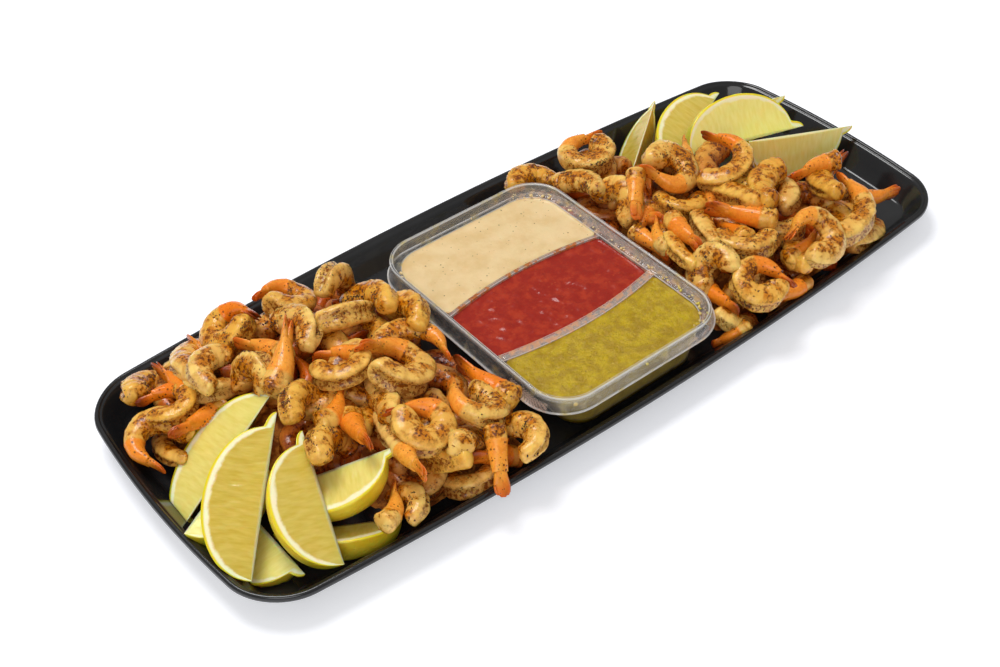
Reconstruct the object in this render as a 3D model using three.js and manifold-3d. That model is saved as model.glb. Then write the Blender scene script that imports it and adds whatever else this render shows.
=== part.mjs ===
// Shrimp cocktail platter: a long black serving tray with two heaps of tail-on
// shrimps, a clear three-part dip container between them, and lemon wedges
// leaning on the heaps at two opposite corners.
//
// Units are millimetres and +Z is up. The origin is the centre of the tray's
// underside, +X runs along the tray and +Y towards its far long side.

import * as THREE from 'three';
import { mergeVertices } from 'three/addons/utils/BufferGeometryUtils.js';
import loadManifold from 'manifold-3d';

const wasm = await loadManifold();
wasm.setup();

// ---------------------------------------------------------------- dimensions

const GAP = 0.35; // clearance between pieces that touch
const FINEST = 0.1; // nothing finer than this is kept of a mesh

// The tray's rim is a rounded rectangle whose four sides bow outwards.
const TRAY_HALF_LENGTH = 222;
const TRAY_HALF_WIDTH = 82.3;
const TRAY_CORNER = 24.4;
const TRAY_INNER_CORNER = 6; // least corner radius of the outlines inside it
const TRAY_END_BOW = 6.5;
const TRAY_SIDE_BOW = 10.7;
const TRAY_HEIGHT = 18;
const TRAY_FLOOR = 4;
const FOOT_DEPTH = 2;
const RIM_WIDTH = 3.6; // width of the rolled rim
const WALL_TOP = 16.4;
const WALL_FOOT_INSET = 12.2;
const WALL_FOOT = 5.2;
const FLOOR_INSET = 14.2; // where the inner wall has reached the floor
const OVERHANG = 16; // how far the food may stand out over the rim
const ROOM_TOP = 80;

// The dip container's outlines: [middle x, middle y, half x, half y, corner].
const POCKET_FLOOR = [-5.5, -11.5, 41, 65.5, 13];
const POCKET_TOP = [-8.6, -12, 49.5, 68, 17];
const MOUTH = [-8.8, -12, 52.8, 70.6, 18.4];
const RIM = [-8.8, -12, 54.8, 72.6, 20];
const LIP = [-7.3, -11.1, 58.7, 74.1, 24];
const CONTAINER_BASE = TRAY_FLOOR + GAP;
const CONTAINER_WALL = 1.2;
const CONTAINER_TOP = 36;
const LIP_HEIGHT = 25.4;
const POCKET_HEIGHT = 29.6; // top of the compartments and of their dividers
const DIVIDER_STEPS = 8;
const DIVIDER_OVERRUN = 4; // how far a divider's line runs past the compartments' ends
const BAND_OVERRUN = 10;
const DIVIDER_BOW = 6.4; // each divider bows away from the middle compartment
const FAR_DIVIDER_Y = 4.2;
const FAR_DIVIDER_THICKNESS = 2.4;
const NEAR_DIVIDER_Y = -33.8;
const NEAR_DIVIDER_THICKNESS = 5.2;
const CREAM_LEVEL = 28.8;
const RED_LEVEL = 27.6;
const GREEN_LEVEL = 28.4;
const ABOVE_WIDTH = 200; // the free space over the dividers, wider than the container
const ABOVE_HEIGHT = 40;
const DIP_RELIEF = 0.7;
const DIP_WAVE_X = 30; // lengths of the soft waves in a dip's top
const DIP_WAVE_Y = 37;
const DIP_CELL = 16;

// A lemon wedge: a ridge line, two cut faces that meet in it, and the rind.
const LEMON_NIPPLE = 5.5; // radius of the nipple at one end; the stem end is blunt
const LEMON_NIPPLE_SHARE = 0.18; // share of the half length that the nipple takes
const WEDGE_ANGLE = 50;

// A shrimp: stations along its middle line as [share of length, half depth, half width].
const SHRIMP_LENGTH = 70;
const SHRIMP_STATIONS = [
  [0.0, 4.6, 4.4],
  [0.06, 6.6, 6.2],
  [0.2, 7.2, 6.8],
  [0.36, 7.0, 6.5],
  [0.52, 6.3, 5.8],
  [0.7, 5.0, 4.7],
  [0.9, 2.5, 4.4],
  [1.0, 1.2, 2.6],
];
const SHRIMP_SIDES = 6;
const CURL_END = 0.68; // the curl fades out from here to the tail
const CURL_FADE = 0.16;
const TAIL_CURL = 0.08;
const WHOLE = [0.0, 1.0];
const BODY = [0.0, 0.7]; // peeled flesh, its tail buried in the heap
const TAIL = [0.52, 1.0]; // a tail that stands out of the heap
const BLUNT_END = 0.6; // girth of a cut end, as a share of the full girth
const EVEN_STEPS = 20; // steps along a middle line that its middle is averaged over
const LEAST_STEP = 0.03; // least share of the length between two stations

// The core that the shrimps of a heap lie on.
const CORE_DROP = 7; // how far the core's top lies under the shrimps' middle lines
const CORE_SPREAD = 15; // reach of each shrimp's say in the core's height
const CORE_LEAST_WEIGHT = 1e-6;
const CORE_CELL = 20;
const CORE_SHOULDER = 22; // width of the slope round the core
const CORE_EDGE = 6; // height of the core at its outline

// ------------------------------------------------------------------- layouts

// Each shrimp is [x, y, z of its middle, turn, curl, lean, pitch, size, part].
const LEFT_SHRIMPS = [
  // along the tray's far side
  [-119, 60, 38, 210, 310, -15, 20, 0.95, WHOLE],
  [-92, 53, 38, 215, -220, 80, -10, 0.9, BODY],
  [-148, 59, 38, 275, -320, -30, 15, 1.0, WHOLE],
  [-164, 62, 28, 95, 60, 0, -10, 1.0, TAIL],
  [-173, 60, 28, 310, 120, -25, 5, 1.0, BODY],
  [-186, 52, 28, 100, 70, 0, 0, 1.0, TAIL],
  [-193, 68, 18, 305, -140, 30, 0, 0.95, BODY],
  // beside the dip container
  [-103, 24, 42, 130, 170, 40, -30, 0.95, BODY],
  [-87, 29, 40, 195, -160, -30, -20, 1.0, BODY],
  [-79, 10, 41, 175, -170, -20, -35, 0.95, BODY],
  [-88, -8, 40, 250, -170, 0, 0, 0.8, WHOLE],
  [-77, -46, 35, 95, -20, 0, 0, 1.2, TAIL],
  [-80, -80, 28, 95, -260, 15, -15, 0.85, BODY],
  // the top of the heap
  [-128, 31, 44, 170, -170, -10, -25, 0.95, BODY],
  [-107, -18, 45, 180, 280, -10, 25, 1.05, WHOLE],
  [-127, -2, 44, 150, 290, 10, -10, 0.9, WHOLE],
  [-145, 18, 46, 50, 60, 0, 15, 1.3, TAIL],
  [-148, 32, 42, 120, 80, 0, -10, 1.0, TAIL],
  [-172, 40, 38, 340, 200, 0, -20, 0.9, BODY],
  [-159, 22, 38, 95, -320, 60, -15, 0.95, BODY],
  [-153, -10, 42, 240, -210, 55, -15, 0.9, BODY],
  [-142, -19, 40, 52, 180, 10, -5, 1.0, TAIL],
  [-123, -28, 34, 190, -140, -35, -15, 1.0, BODY],
  // the tray's end
  [-195, 42, 28, 175, 260, 5, -5, 0.8, WHOLE],
  [-208, 32, 20, 290, 240, 5, -5, 0.9, WHOLE],
  [-189, 25, 26, 190, 10, 0, 10, 1.0, TAIL],
  [-204, 29, 12, 335, 110, -15, 0, 0.7, BODY],
  // beside the lemon wedges
  [-143, -40, 41, 260, 40, 0, 20, 1.05, TAIL],
  [-155, -34, 35, 255, -190, 50, -10, 0.95, BODY],
  [-130, -52, 36, 260, 20, -5, 15, 0.95, WHOLE],
  [-140, -71, 18, 115, -250, 10, -25, 0.75, BODY],
  [-148, -70, 22, 60, 150, 10, -10, 0.95, TAIL],
  // along the tray's near side
  [-120, -53, 42, 170, 340, -15, 5, 1.0, WHOLE],
  [-91, -56, 39, 60, -280, -25, -10, 0.9, WHOLE],
  [-100, -85, 30, 240, 10, 75, -30, 1.0, TAIL],
  [-95, -75, 20, 180, 60, 0, 30, 1.0, TAIL],
  [-109, -75, 14, 150, 310, 20, -10, 0.85, BODY],
  [-101, -67, 28, 315, -110, 40, -5, 1.0, BODY],
  [-115, -63, 24, 340, 120, -35, 5, 1.0, BODY],
];

const RIGHT_SHRIMPS = [
  // along the tray's far side
  [83, 61, 34, 345, -320, -5, 0, 1.05, WHOLE],
  [47, 67, 28, 215, -220, 10, 5, 0.85, BODY],
  [61, 42, 32, 215, -110, -25, -5, 0.9, BODY],
  // the top of the heap
  [66, 16, 34, 255, 280, 45, -10, 1.0, BODY],
  [68, 6, 42, 230, 40, 60, -10, 1.0, TAIL],
  [95, 10, 44, 120, -300, 5, 25, 1.0, WHOLE],
  [121, 22, 36, 50, 60, 0, -5, 1.0, TAIL],
  [126, -3, 44, 115, 200, -15, -5, 0.95, WHOLE],
  [111, -25, 39, 265, 0, 0, 20, 1.0, BODY],
  [126, -34, 44, 305, 150, -5, 15, 1.05, BODY],
  // the tray's end
  [163, -35, 38, 175, 80, 0, -5, 1.0, TAIL],
  [162, -44, 34, 290, 90, -10, 20, 1.0, BODY],
  [156, -68, 33, 80, 120, -5, 0, 1.0, WHOLE],
  [188, -61, 22, 350, 40, 0, -10, 1.0, TAIL],
  [184, -30, 26, 10, 60, 0, 0, 1.0, TAIL],
  [182, -46, 17, 225, -190, 10, 10, 0.75, BODY],
  [164, -75, 15, 50, 60, 15, -10, 0.95, BODY],
  // beside the dip container
  [99, -41, 42, 120, -10, 0, 0, 1.15, TAIL],
  [87, -56, 38, 340, -260, 5, 0, 0.95, BODY],
  [92, -41, 34, 85, 40, 0, -20, 1.0, TAIL],
  [69, -31, 38, 255, 20, -5, 5, 1.05, TAIL],
  [81, -34, 36, 260, 30, -5, 10, 0.8, BODY],
  [60, -36, 34, 290, 60, -10, -5, 0.7, BODY],
  [64, -17, 32, 45, -170, 10, 0, 0.9, TAIL],
  [57, -18, 30, 265, -20, 0, 0, 0.85, TAIL],
  [68, -2, 30, 215, 60, 5, 0, 0.85, TAIL],
  [63, -56, 34, 130, -320, 35, -45, 1.0, BODY],
  // along the tray's near side
  [117, -75, 40, 200, 270, -35, -10, 0.95, WHOLE],
  [116, -71, 30, 20, 90, 0, 0, 1.0, TAIL],
  [76, -80, 34, 280, -320, -15, -20, 0.95, WHOLE],
  [59, -68, 24, 265, 40, 0, 10, 0.95, TAIL],
  [62, -77, 13, 70, 140, 35, 5, 0.8, BODY],
  [53, -81, 11, 145, -50, 5, -35, 0.75, TAIL],
  [116, -69, 22, 295, 120, -25, 10, 1.0, BODY],
  [93, -84, 20, 185, -10, 0, 10, 0.95, TAIL],
];

// Each wedge is [x, y, z of its ridge's middle, turn, pitch, roll, length, radius, nipple's end],
// the upper ones first.
const LEMON_WEDGES = [
  [-172, -53, 30, 72, 25, 16, 63, 25, 1],
  [-191, -36, 30, 46, 23, 8, 77, 26.5, 1],
  [-188, -2, 25, 15, 27, -10, 76, 26.5, 1],
  [-158, -43, 30, 152, -17, -2, 56, 22.6, -1],
  [-201, -11, 21, 28, 2, -125, 57, 24, 1],
  [-195, -39, 12, 90, 0, -15, 63, 27.5, -1],
  [-168, -55, 9, 148, -2, 25, 57, 17, 1],
  [168, 17, 26, -14, -2, 50, 76, 27.5, 1],
  [191, -2, 31, 165, 8, -70, 72, 26.5, -1],
  [158, 48, 24, 23, 4, 22, 70, 21, 1],
  [123, 57, 27, 32, 20, -50, 54, 22, 1],
  [190, 46, 24, 157, -6, -60, 60, 22, -1],
];

// Where the heaps stand on the tray's floor, as convex outlines, counter-clockwise.
const LEFT_FOOTPRINT = [
  [-58, -90],
  [-60, 50],
  [-76, 88],
  [-216, 88],
  [-228, 26],
  [-146, -90],
];
const RIGHT_FOOTPRINT = [
  [44, -92],
  [192, -92],
  [224, -60],
  [224, -34],
  [94, 92],
  [42, 92],
];

// ----------------------------------------------------------------- materials

const BLACK_PLASTIC = new THREE.MeshStandardMaterial({ color: 0x16181a, roughness: 0.35 });
const CLEAR_PLASTIC = new THREE.MeshStandardMaterial({
  color: 0xdfe3e2,
  roughness: 0.08,
  transparent: true,
  opacity: 0.35,
});
const CREAM_DIP = new THREE.MeshStandardMaterial({ color: 0xe6cda4, roughness: 0.5 });
const RED_SAUCE = new THREE.MeshStandardMaterial({ color: 0xa5301c, roughness: 0.25 });
const GREEN_DIP = new THREE.MeshStandardMaterial({ color: 0xb59a38, roughness: 0.5 });
const LEMON = new THREE.MeshStandardMaterial({ color: 0xe3cf4a, roughness: 0.4 });
const SHRIMP = new THREE.MeshStandardMaterial({ color: 0xd9a86c, roughness: 0.4 });

// ---------------------------------------------------------- general geometry

const { degToRad, lerp, clamp, smoothstep } = THREE.MathUtils;

/** A closed geometry through rings of points, each with the same number of points. */
function loft(rings) {
  const sides = rings[0].length;
  const middles = [rings[0], rings.at(-1)].map((ring) => {
    const sum = ring.reduce((total, point) => total.add(point), new THREE.Vector3());
    return sum.divideScalar(sides);
  });
  const positions = [...rings.flat(), ...middles].flatMap((point) => point.toArray());
  const firstMiddle = rings.length * sides;
  const lastMiddle = firstMiddle + 1;
  const lastRing = firstMiddle - sides;
  const faces = [];
  for (let side = 0; side < sides; side += 1) {
    const next = (side + 1) % sides;
    for (let low = 0; low < lastRing; low += sides) {
      const high = low + sides;
      faces.push(low + side, low + next, high + next);
      faces.push(low + side, high + next, high + side);
    }
    faces.push(firstMiddle, next, side);
    faces.push(lastMiddle, lastRing + side, lastRing + next);
  }
  return indexedGeometry(positions, faces);
}

/** A closed solid under a height function over a rectangle, down to a flat bottom. */
function reliefBlock(lowX, lowY, highX, highY, bottom, cell, heightAt) {
  const columns = Math.round((highX - lowX) / cell);
  const rows = Math.round((highY - lowY) / cell);
  const positions = [];
  const faces = [];
  const at = (column, row) => row * (columns + 1) + column;
  for (let row = 0; row <= rows; row += 1) {
    for (let column = 0; column <= columns; column += 1) {
      const x = lerp(lowX, highX, column / columns);
      const y = lerp(lowY, highY, row / rows);
      positions.push(x, y, heightAt(x, y));
    }
  }
  for (let row = 0; row < rows; row += 1) {
    for (let column = 0; column < columns; column += 1) {
      const corner = at(column, row);
      const opposite = at(column + 1, row + 1);
      faces.push(corner, at(column + 1, row), opposite, corner, opposite, at(column, row + 1));
    }
  }
  const border = [];
  for (let column = 0; column < columns; column += 1) border.push(at(column, 0));
  for (let row = 0; row < rows; row += 1) border.push(at(columns, row));
  for (let column = columns; column > 0; column -= 1) border.push(at(column, rows));
  for (let row = rows; row > 0; row -= 1) border.push(at(0, row));
  const firstBelow = positions.length / 3;
  border.forEach((top) => positions.push(positions[3 * top], positions[3 * top + 1], bottom));
  const middle = positions.length / 3;
  positions.push((lowX + highX) / 2, (lowY + highY) / 2, bottom);
  border.forEach((top, index) => {
    const following = (index + 1) % border.length;
    const below = firstBelow + index;
    const nextBelow = firstBelow + following;
    faces.push(below, nextBelow, border[following], below, border[following], top);
    faces.push(middle, nextBelow, below);
  });
  return indexedGeometry(positions, faces);
}

function indexedGeometry(positions, faces) {
  const geometry = new THREE.BufferGeometry();
  geometry.setAttribute('position', new THREE.Float32BufferAttribute(positions, 3));
  geometry.setIndex(faces);
  return geometry;
}

/** A flat outline pulled straight up from one height to another. */
function prism(shape, low, high, curveSegments = 8) {
  const geometry = new THREE.ExtrudeGeometry(shape, {
    depth: high - low,
    bevelEnabled: false,
    curveSegments,
  });
  return geometry.translate(0, 0, low);
}

/** The solid of a closed geometry, ready to be joined or cut. */
function toSolid(geometry) {
  const bare = geometry.clone();
  bare.deleteAttribute('normal');
  bare.deleteAttribute('uv');
  const merged = mergeVertices(bare);
  const vertProperties = new Float32Array(merged.getAttribute('position').array);
  const triVerts = new Uint32Array(merged.index.array);
  return new wasm.Manifold(new wasm.Mesh({ numProp: 3, vertProperties, triVerts }));
}

/** The largest body of a solid as a named mesh; loose scraps are dropped. */
function toMesh(name, solid, material) {
  const bodies = solid.simplify(FINEST).decompose();
  const whole = bodies.reduce((best, body) => (body.volume() > best.volume() ? body : best));
  const { vertProperties, triVerts } = whole.getMesh();
  const geometry = new THREE.BufferGeometry();
  geometry.setAttribute('position', new THREE.BufferAttribute(vertProperties, 3));
  geometry.setIndex(new THREE.BufferAttribute(triVerts, 1));
  geometry.computeVertexNormals();
  const mesh = new THREE.Mesh(geometry, material);
  mesh.name = name;
  return mesh;
}

/** A rounded rectangle at one height, counter-clockwise; the sides along Y and X are divided. */
function roundedRectangle([x, y, halfX, halfY, corner], z, arcSteps, [stepsY, stepsX]) {
  const signs = [[1, -1], [1, 1], [-1, 1], [-1, -1]];
  const cornerPoint = (quarter, share) => {
    const [signX, signY] = signs[quarter % signs.length];
    const angle = degToRad(90 * (quarter - 1 + share));
    return new THREE.Vector3(
      x + signX * (halfX - corner) + corner * Math.cos(angle),
      y + signY * (halfY - corner) + corner * Math.sin(angle),
      z,
    );
  };
  const points = [];
  signs.forEach((sign, quarter) => {
    for (let step = 0; step <= arcSteps; step += 1) {
      points.push(cornerPoint(quarter, step / arcSteps));
    }
    const sideStart = cornerPoint(quarter, 1);
    const sideEnd = cornerPoint(quarter + 1, 0);
    const steps = quarter % 2 === 0 ? stepsY : stepsX;
    for (let step = 1; step < steps; step += 1) {
      points.push(sideStart.clone().lerp(sideEnd, step / steps));
    }
  });
  return points;
}

// ---------------------------------------------------------------------- tray

/** The tray's outline at one height, drawn in from the rim's edge by an inset. */
function trayOutline([inset, z]) {
  const halfX = TRAY_HALF_LENGTH - inset;
  const halfY = TRAY_HALF_WIDTH - inset;
  const corner = Math.max(TRAY_CORNER - inset, TRAY_INNER_CORNER);
  return roundedRectangle([0, 0, halfX, halfY, corner], z, 5, [3, 7]).map((point) => {
    const alongX = point.x / TRAY_HALF_LENGTH;
    const alongY = point.y / TRAY_HALF_WIDTH;
    point.x += TRAY_END_BOW * alongX * Math.max(1 - alongY ** 2, 0);
    point.y += TRAY_SIDE_BOW * alongY * Math.max(1 - alongX ** 2, 0);
    return point;
  });
}

function makeTray() {
  const profile = [
    // underside: a foot pad in the middle, a recess, and a foot round the edge
    [58, 0],
    [59, FOOT_DEPTH],
    [29, FOOT_DEPTH],
    [28, 0],
    [16.5, 0],
    [13.2, 1.6],
    // outer wall up to the rolled rim
    [3, 14.6],
    [1, 14.6],
    [0, 15.6],
    [0.3, 17.4],
    [1.5, TRAY_HEIGHT],
    [2.8, 17.7],
    // inner wall down to the floor
    [RIM_WIDTH, WALL_TOP],
    [WALL_FOOT_INSET, WALL_FOOT],
    [FLOOR_INSET, TRAY_FLOOR],
  ];
  return toSolid(loft(profile.map(trayOutline)));
}

/** The room that the food on the tray may take: inside the walls, and over the rim. */
function makeTrayRoom() {
  const profile = [
    [FLOOR_INSET + GAP, TRAY_FLOOR + GAP],
    [WALL_FOOT_INSET + GAP, WALL_FOOT + GAP],
    [RIM_WIDTH + GAP, WALL_TOP],
    [2.4 + GAP, TRAY_HEIGHT + GAP],
    [-OVERHANG, TRAY_HEIGHT + GAP],
    [-OVERHANG, ROOM_TOP],
  ];
  return toSolid(loft(profile.map(trayOutline)));
}

// ------------------------------------------------------------- dip container

function containerRing([outline, z, grow]) {
  const [x, y, halfX, halfY, corner] = outline;
  return roundedRectangle([x, y, halfX + grow, halfY + grow, corner + grow], z, 4, [2, 2]);
}

/** The container's outside: body, projecting lip, skirt and rim, filled up. */
function makeContainerBlock(grow) {
  const wall = CONTAINER_WALL + grow;
  return toSolid(
    loft(
      [
        [POCKET_FLOOR, CONTAINER_BASE - grow, -1 + grow],
        [POCKET_FLOOR, CONTAINER_BASE + 1.6, wall],
        [POCKET_TOP, LIP_HEIGHT - 0.8 - grow, wall - 0.6],
        [LIP, LIP_HEIGHT - grow, grow],
        [LIP, LIP_HEIGHT + 1 + grow, grow],
        [RIM, LIP_HEIGHT + 2.4 + grow, 1.4 + grow],
        [RIM, CONTAINER_TOP - 0.8, grow],
        [RIM, CONTAINER_TOP + grow, -0.6 + grow],
      ].map(containerRing),
    ),
  );
}

/** The hollow inside the container, from a clearance above its bottom to over its rim. */
function makeContainerHollow(shrink) {
  return toSolid(
    loft(
      [
        [POCKET_FLOOR, CONTAINER_BASE + CONTAINER_WALL + shrink, -1.5 - shrink],
        [POCKET_FLOOR, CONTAINER_BASE + CONTAINER_WALL + 2, -shrink],
        [POCKET_TOP, POCKET_HEIGHT, -shrink],
        [MOUTH, CONTAINER_TOP - 1.5, -shrink],
        [MOUTH, CONTAINER_TOP + 10, -shrink],
      ].map(containerRing),
    ),
  );
}

/** A divider's edge as points along X, bowed by a signed amount. */
function dividerEdge(y, bow) {
  const [middleX, , halfX] = POCKET_TOP;
  const ends = halfX + DIVIDER_OVERRUN;
  const curve = new THREE.QuadraticBezierCurve(
    new THREE.Vector2(middleX - ends, y),
    new THREE.Vector2(middleX, y + 2 * bow),
    new THREE.Vector2(middleX + ends, y),
  );
  return curve.getPoints(DIVIDER_STEPS);
}

/** The band of one compartment between two edges, either of which may be the far or near wall. */
function makeCompartment(farEdge, nearEdge, top) {
  const shape = new THREE.Shape([...nearEdge, ...farEdge.toReversed()]);
  return toSolid(prism(shape, 0, top));
}

function makeCompartments(shrink, top) {
  const [middleX, middleY, halfX, halfY] = POCKET_TOP;
  const halfFar = FAR_DIVIDER_THICKNESS / 2 + shrink;
  const halfNear = NEAR_DIVIDER_THICKNESS / 2 + shrink;
  const aside = halfX + BAND_OVERRUN;
  const beyond = halfY + BAND_OVERRUN;
  const outerEdge = (y) => [
    new THREE.Vector2(middleX - aside, y),
    new THREE.Vector2(middleX + aside, y),
  ];
  const far = outerEdge(middleY + beyond);
  const near = outerEdge(middleY - beyond);
  return {
    cream: makeCompartment(far, dividerEdge(FAR_DIVIDER_Y + halfFar, DIVIDER_BOW), top),
    red: makeCompartment(
      dividerEdge(FAR_DIVIDER_Y - halfFar, DIVIDER_BOW),
      dividerEdge(NEAR_DIVIDER_Y + halfNear, -DIVIDER_BOW),
      top,
    ),
    green: makeCompartment(dividerEdge(NEAR_DIVIDER_Y - halfNear, -DIVIDER_BOW), near, top),
  };
}

function makeDipContainer() {
  const hollow = makeContainerHollow(0);
  const { cream, red, green } = makeCompartments(0, POCKET_HEIGHT);
  const above = toSolid(
    new THREE.BoxGeometry(ABOVE_WIDTH, ABOVE_WIDTH, ABOVE_HEIGHT).translate(
      0,
      0,
      POCKET_HEIGHT + ABOVE_HEIGHT / 2,
    ),
  );
  const room = hollow.intersect(cream.add(red).add(green).add(above));
  return makeContainerBlock(0).subtract(room);
}

/** One dip: its compartment filled to a level, with a softly uneven top. */
function makeDip(compartment, level) {
  const [middleX, middleY, halfX, halfY] = RIM;
  const wave = (x, y) =>
    level +
    DIP_RELIEF *
      Math.sin((2 * Math.PI * x) / DIP_WAVE_X + 0.9) *
      Math.cos((2 * Math.PI * y) / DIP_WAVE_Y - 0.4);
  const fill = reliefBlock(
    middleX - halfX,
    middleY - halfY,
    middleX + halfX,
    middleY + halfY,
    0,
    DIP_CELL,
    wave,
  );
  return makeContainerHollow(GAP).intersect(compartment).intersect(toSolid(fill));
}

// --------------------------------------------------------------------- lemon

/** A wedge's radius at a share of its half length, from the stem end at -1 to the nipple at 1. */
function lemonRadius(share, radius) {
  const halfBody = 1 - LEMON_NIPPLE_SHARE / 2;
  const offset = (share + LEMON_NIPPLE_SHARE / 2) / halfBody;
  const body = Math.max(1 - offset ** 2, 0) ** 0.45;
  const nipple = Math.sqrt(Math.max(1 - share ** 2, 0));
  return Math.max(radius * body, LEMON_NIPPLE * nipple, 0.5);
}

/** A wedge; turn and pitch set its ridge, and roll turns its upper face about the ridge. */
function makeWedge([x, y, z, turn, pitch, roll, length, radius, nippleEnd], grow) {
  const along = new THREE.Vector3(1, 0, 0)
    .applyAxisAngle(new THREE.Vector3(0, -1, 0), degToRad(pitch))
    .applyAxisAngle(new THREE.Vector3(0, 0, 1), degToRad(turn));
  const left = new THREE.Vector3(0, 0, 1).cross(along).normalize();
  const up = new THREE.Vector3().crossVectors(along, left);
  const direction = (degrees) => {
    const angle = degToRad(degrees);
    return left.clone().multiplyScalar(Math.cos(angle)).addScaledVector(up, Math.sin(angle));
  };
  // A grown wedge starts behind its ridge, so that both faces move out alike.
  const back = grow / Math.sin(degToRad(WEDGE_ANGLE / 2));
  const halfLength = length / 2 + grow;
  const ridgeMiddle = new THREE.Vector3(x, y, z);
  ridgeMiddle.addScaledVector(direction(roll - WEDGE_ANGLE / 2), -back);
  const arcSteps = 4;
  const shares = [-1, -0.95, -0.8, -0.5, -0.1, 0.3, 0.6, 0.78, 0.9, 1];
  const rings = shares.map((share) => {
    const ridge = ridgeMiddle.clone().addScaledVector(along, share * halfLength);
    const reach = lemonRadius(share * nippleEnd, radius) + grow + back;
    const ring = [ridge];
    for (let step = 0; step <= arcSteps; step += 1) {
      const angle = roll - WEDGE_ANGLE + (WEDGE_ANGLE * step) / arcSteps;
      ring.push(ridge.clone().addScaledVector(direction(angle), reach));
    }
    return ring;
  });
  return toSolid(loft(rings));
}

/** All the wedges; each is fitted to those that lie over it and to what it leans on. */
function makeWedges(room) {
  const placed = [];
  return LEMON_WEDGES.map((place) => {
    let wedge = makeWedge(place, 0).intersect(room);
    placed.forEach((upper) => {
      wedge = wedge.subtract(upper);
    });
    placed.push(makeWedge(place, GAP));
    return wedge;
  });
}

// ------------------------------------------------------------------- shrimps

/** The half depth and half width of a shrimp at a share of its length. */
function shrimpGirth(share) {
  const after = Math.max(SHRIMP_STATIONS.findIndex(([at]) => at >= share), 1);
  const [lowAt, lowDepth, lowWidth] = SHRIMP_STATIONS[after - 1];
  const [highAt, highDepth, highWidth] = SHRIMP_STATIONS[after];
  const part = (share - lowAt) / (highAt - lowAt);
  return [lerp(lowDepth, highDepth, part), lerp(lowWidth, highWidth, part)];
}

/** Points and headings of a curled middle line in the XY plane, its tail along +X. */
function curledLine(curl, length, shares) {
  const steps = 100;
  const weight = (share) => clamp(1 - (share - CURL_END) / CURL_FADE, TAIL_CURL, 1);
  let total = 0;
  for (let step = 0; step < steps; step += 1) total += weight((step + 0.5) / steps);
  const line = [{ x: 0, y: 0, heading: -degToRad(curl) }];
  for (let step = 0; step < steps; step += 1) {
    const { x, y, heading } = line.at(-1);
    const turned = heading + (degToRad(curl) * weight((step + 0.5) / steps)) / total;
    const middle = (heading + turned) / 2;
    const stride = length / steps;
    line.push({
      x: x + stride * Math.cos(middle),
      y: y + stride * Math.sin(middle),
      heading: turned,
    });
  }
  return shares.map((share) => line[Math.round(share * steps)]);
}

/** A shrimp, curled in its own plane, then leaned, pitched, turned and put in its place. */
function makeShrimp([x, y, z, turn, curl, lean, pitch, size, [from, to]]) {
  const inner = SHRIMP_STATIONS.map(([share]) => share).filter(
    (share) => share > from + LEAST_STEP && share < to - LEAST_STEP,
  );
  const shares = [from, ...inner, to];
  const length = SHRIMP_LENGTH * size;
  const line = curledLine(curl, length, shares);
  const evenShares = Array.from({ length: EVEN_STEPS + 1 }, (unused, step) =>
    lerp(from, to, step / EVEN_STEPS),
  );
  const middle = new THREE.Vector3();
  curledLine(curl, length, evenShares).forEach(({ x: lineX, y: lineY }) => {
    middle.add(new THREE.Vector3(lineX, lineY, 0).divideScalar(evenShares.length));
  });
  const attitude = new THREE.Matrix4()
    .makeTranslation(x, y, z)
    .multiply(new THREE.Matrix4().makeRotationZ(degToRad(turn)))
    .multiply(new THREE.Matrix4().makeRotationY(-degToRad(pitch)))
    .multiply(new THREE.Matrix4().makeRotationX(degToRad(lean) * Math.sign(curl)))
    .multiply(new THREE.Matrix4().makeTranslation(-middle.x, -middle.y, 0));
  const rings = line.map((point, index) => {
    const [depth, width] = shrimpGirth(shares[index]);
    const blunt = index === 0 || (index === line.length - 1 && to < 1) ? BLUNT_END : 1;
    const ring = [];
    for (let side = 0; side < SHRIMP_SIDES; side += 1) {
      const angle = (2 * Math.PI * side) / SHRIMP_SIDES;
      const across = depth * size * blunt * Math.cos(angle);
      ring.push(
        new THREE.Vector3(
          point.x - across * Math.sin(point.heading),
          point.y + across * Math.cos(point.heading),
          width * size * blunt * Math.sin(angle),
        ).applyMatrix4(attitude),
      );
    }
    return ring;
  });
  return toSolid(loft(rings));
}

/** The core of a heap: the average height of the shrimps near each point, sloping off outside. */
function makeCore(shrimps, footprint) {
  const outline = footprint.map(([x, y]) => new THREE.Vector2(x, y));
  const edgeDistance = (x, y) => {
    const distances = outline.map((start, index) => {
      const side = outline[(index + 1) % outline.length].clone().sub(start);
      return (side.x * (y - start.y) - side.y * (x - start.x)) / side.length();
    });
    return Math.min(...distances);
  };
  const heightAt = (x, y) => {
    let total = 0;
    let weights = 0;
    shrimps.forEach(([shrimpX, shrimpY, shrimpZ]) => {
      const distance = Math.hypot(x - shrimpX, y - shrimpY) / CORE_SPREAD;
      const weight = Math.exp(-(distance ** 2)) + CORE_LEAST_WEIGHT;
      total += weight * shrimpZ;
      weights += weight;
    });
    const rise = smoothstep(edgeDistance(x, y), 0, CORE_SHOULDER);
    return lerp(CORE_EDGE, total / weights - CORE_DROP, rise);
  };
  const { min, max } = new THREE.Box2().setFromPoints(outline);
  const block = reliefBlock(min.x, min.y, max.x, max.y, 0, CORE_CELL, heightAt);
  return toSolid(block).intersect(toSolid(prism(new THREE.Shape(outline), 0, ROOM_TOP)));
}

/** A heap: the core with its shrimps fused on, fitted to the tray and to its neighbours. */
function makeHeap(shrimps, footprint, room, neighbours) {
  let heap = makeCore(shrimps, footprint);
  shrimps.forEach((place) => {
    heap = heap.add(makeShrimp(place));
  });
  heap = heap.intersect(room);
  neighbours.forEach((neighbour) => {
    heap = heap.subtract(neighbour);
  });
  return heap;
}

// ------------------------------------------------------------------- platter

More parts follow.
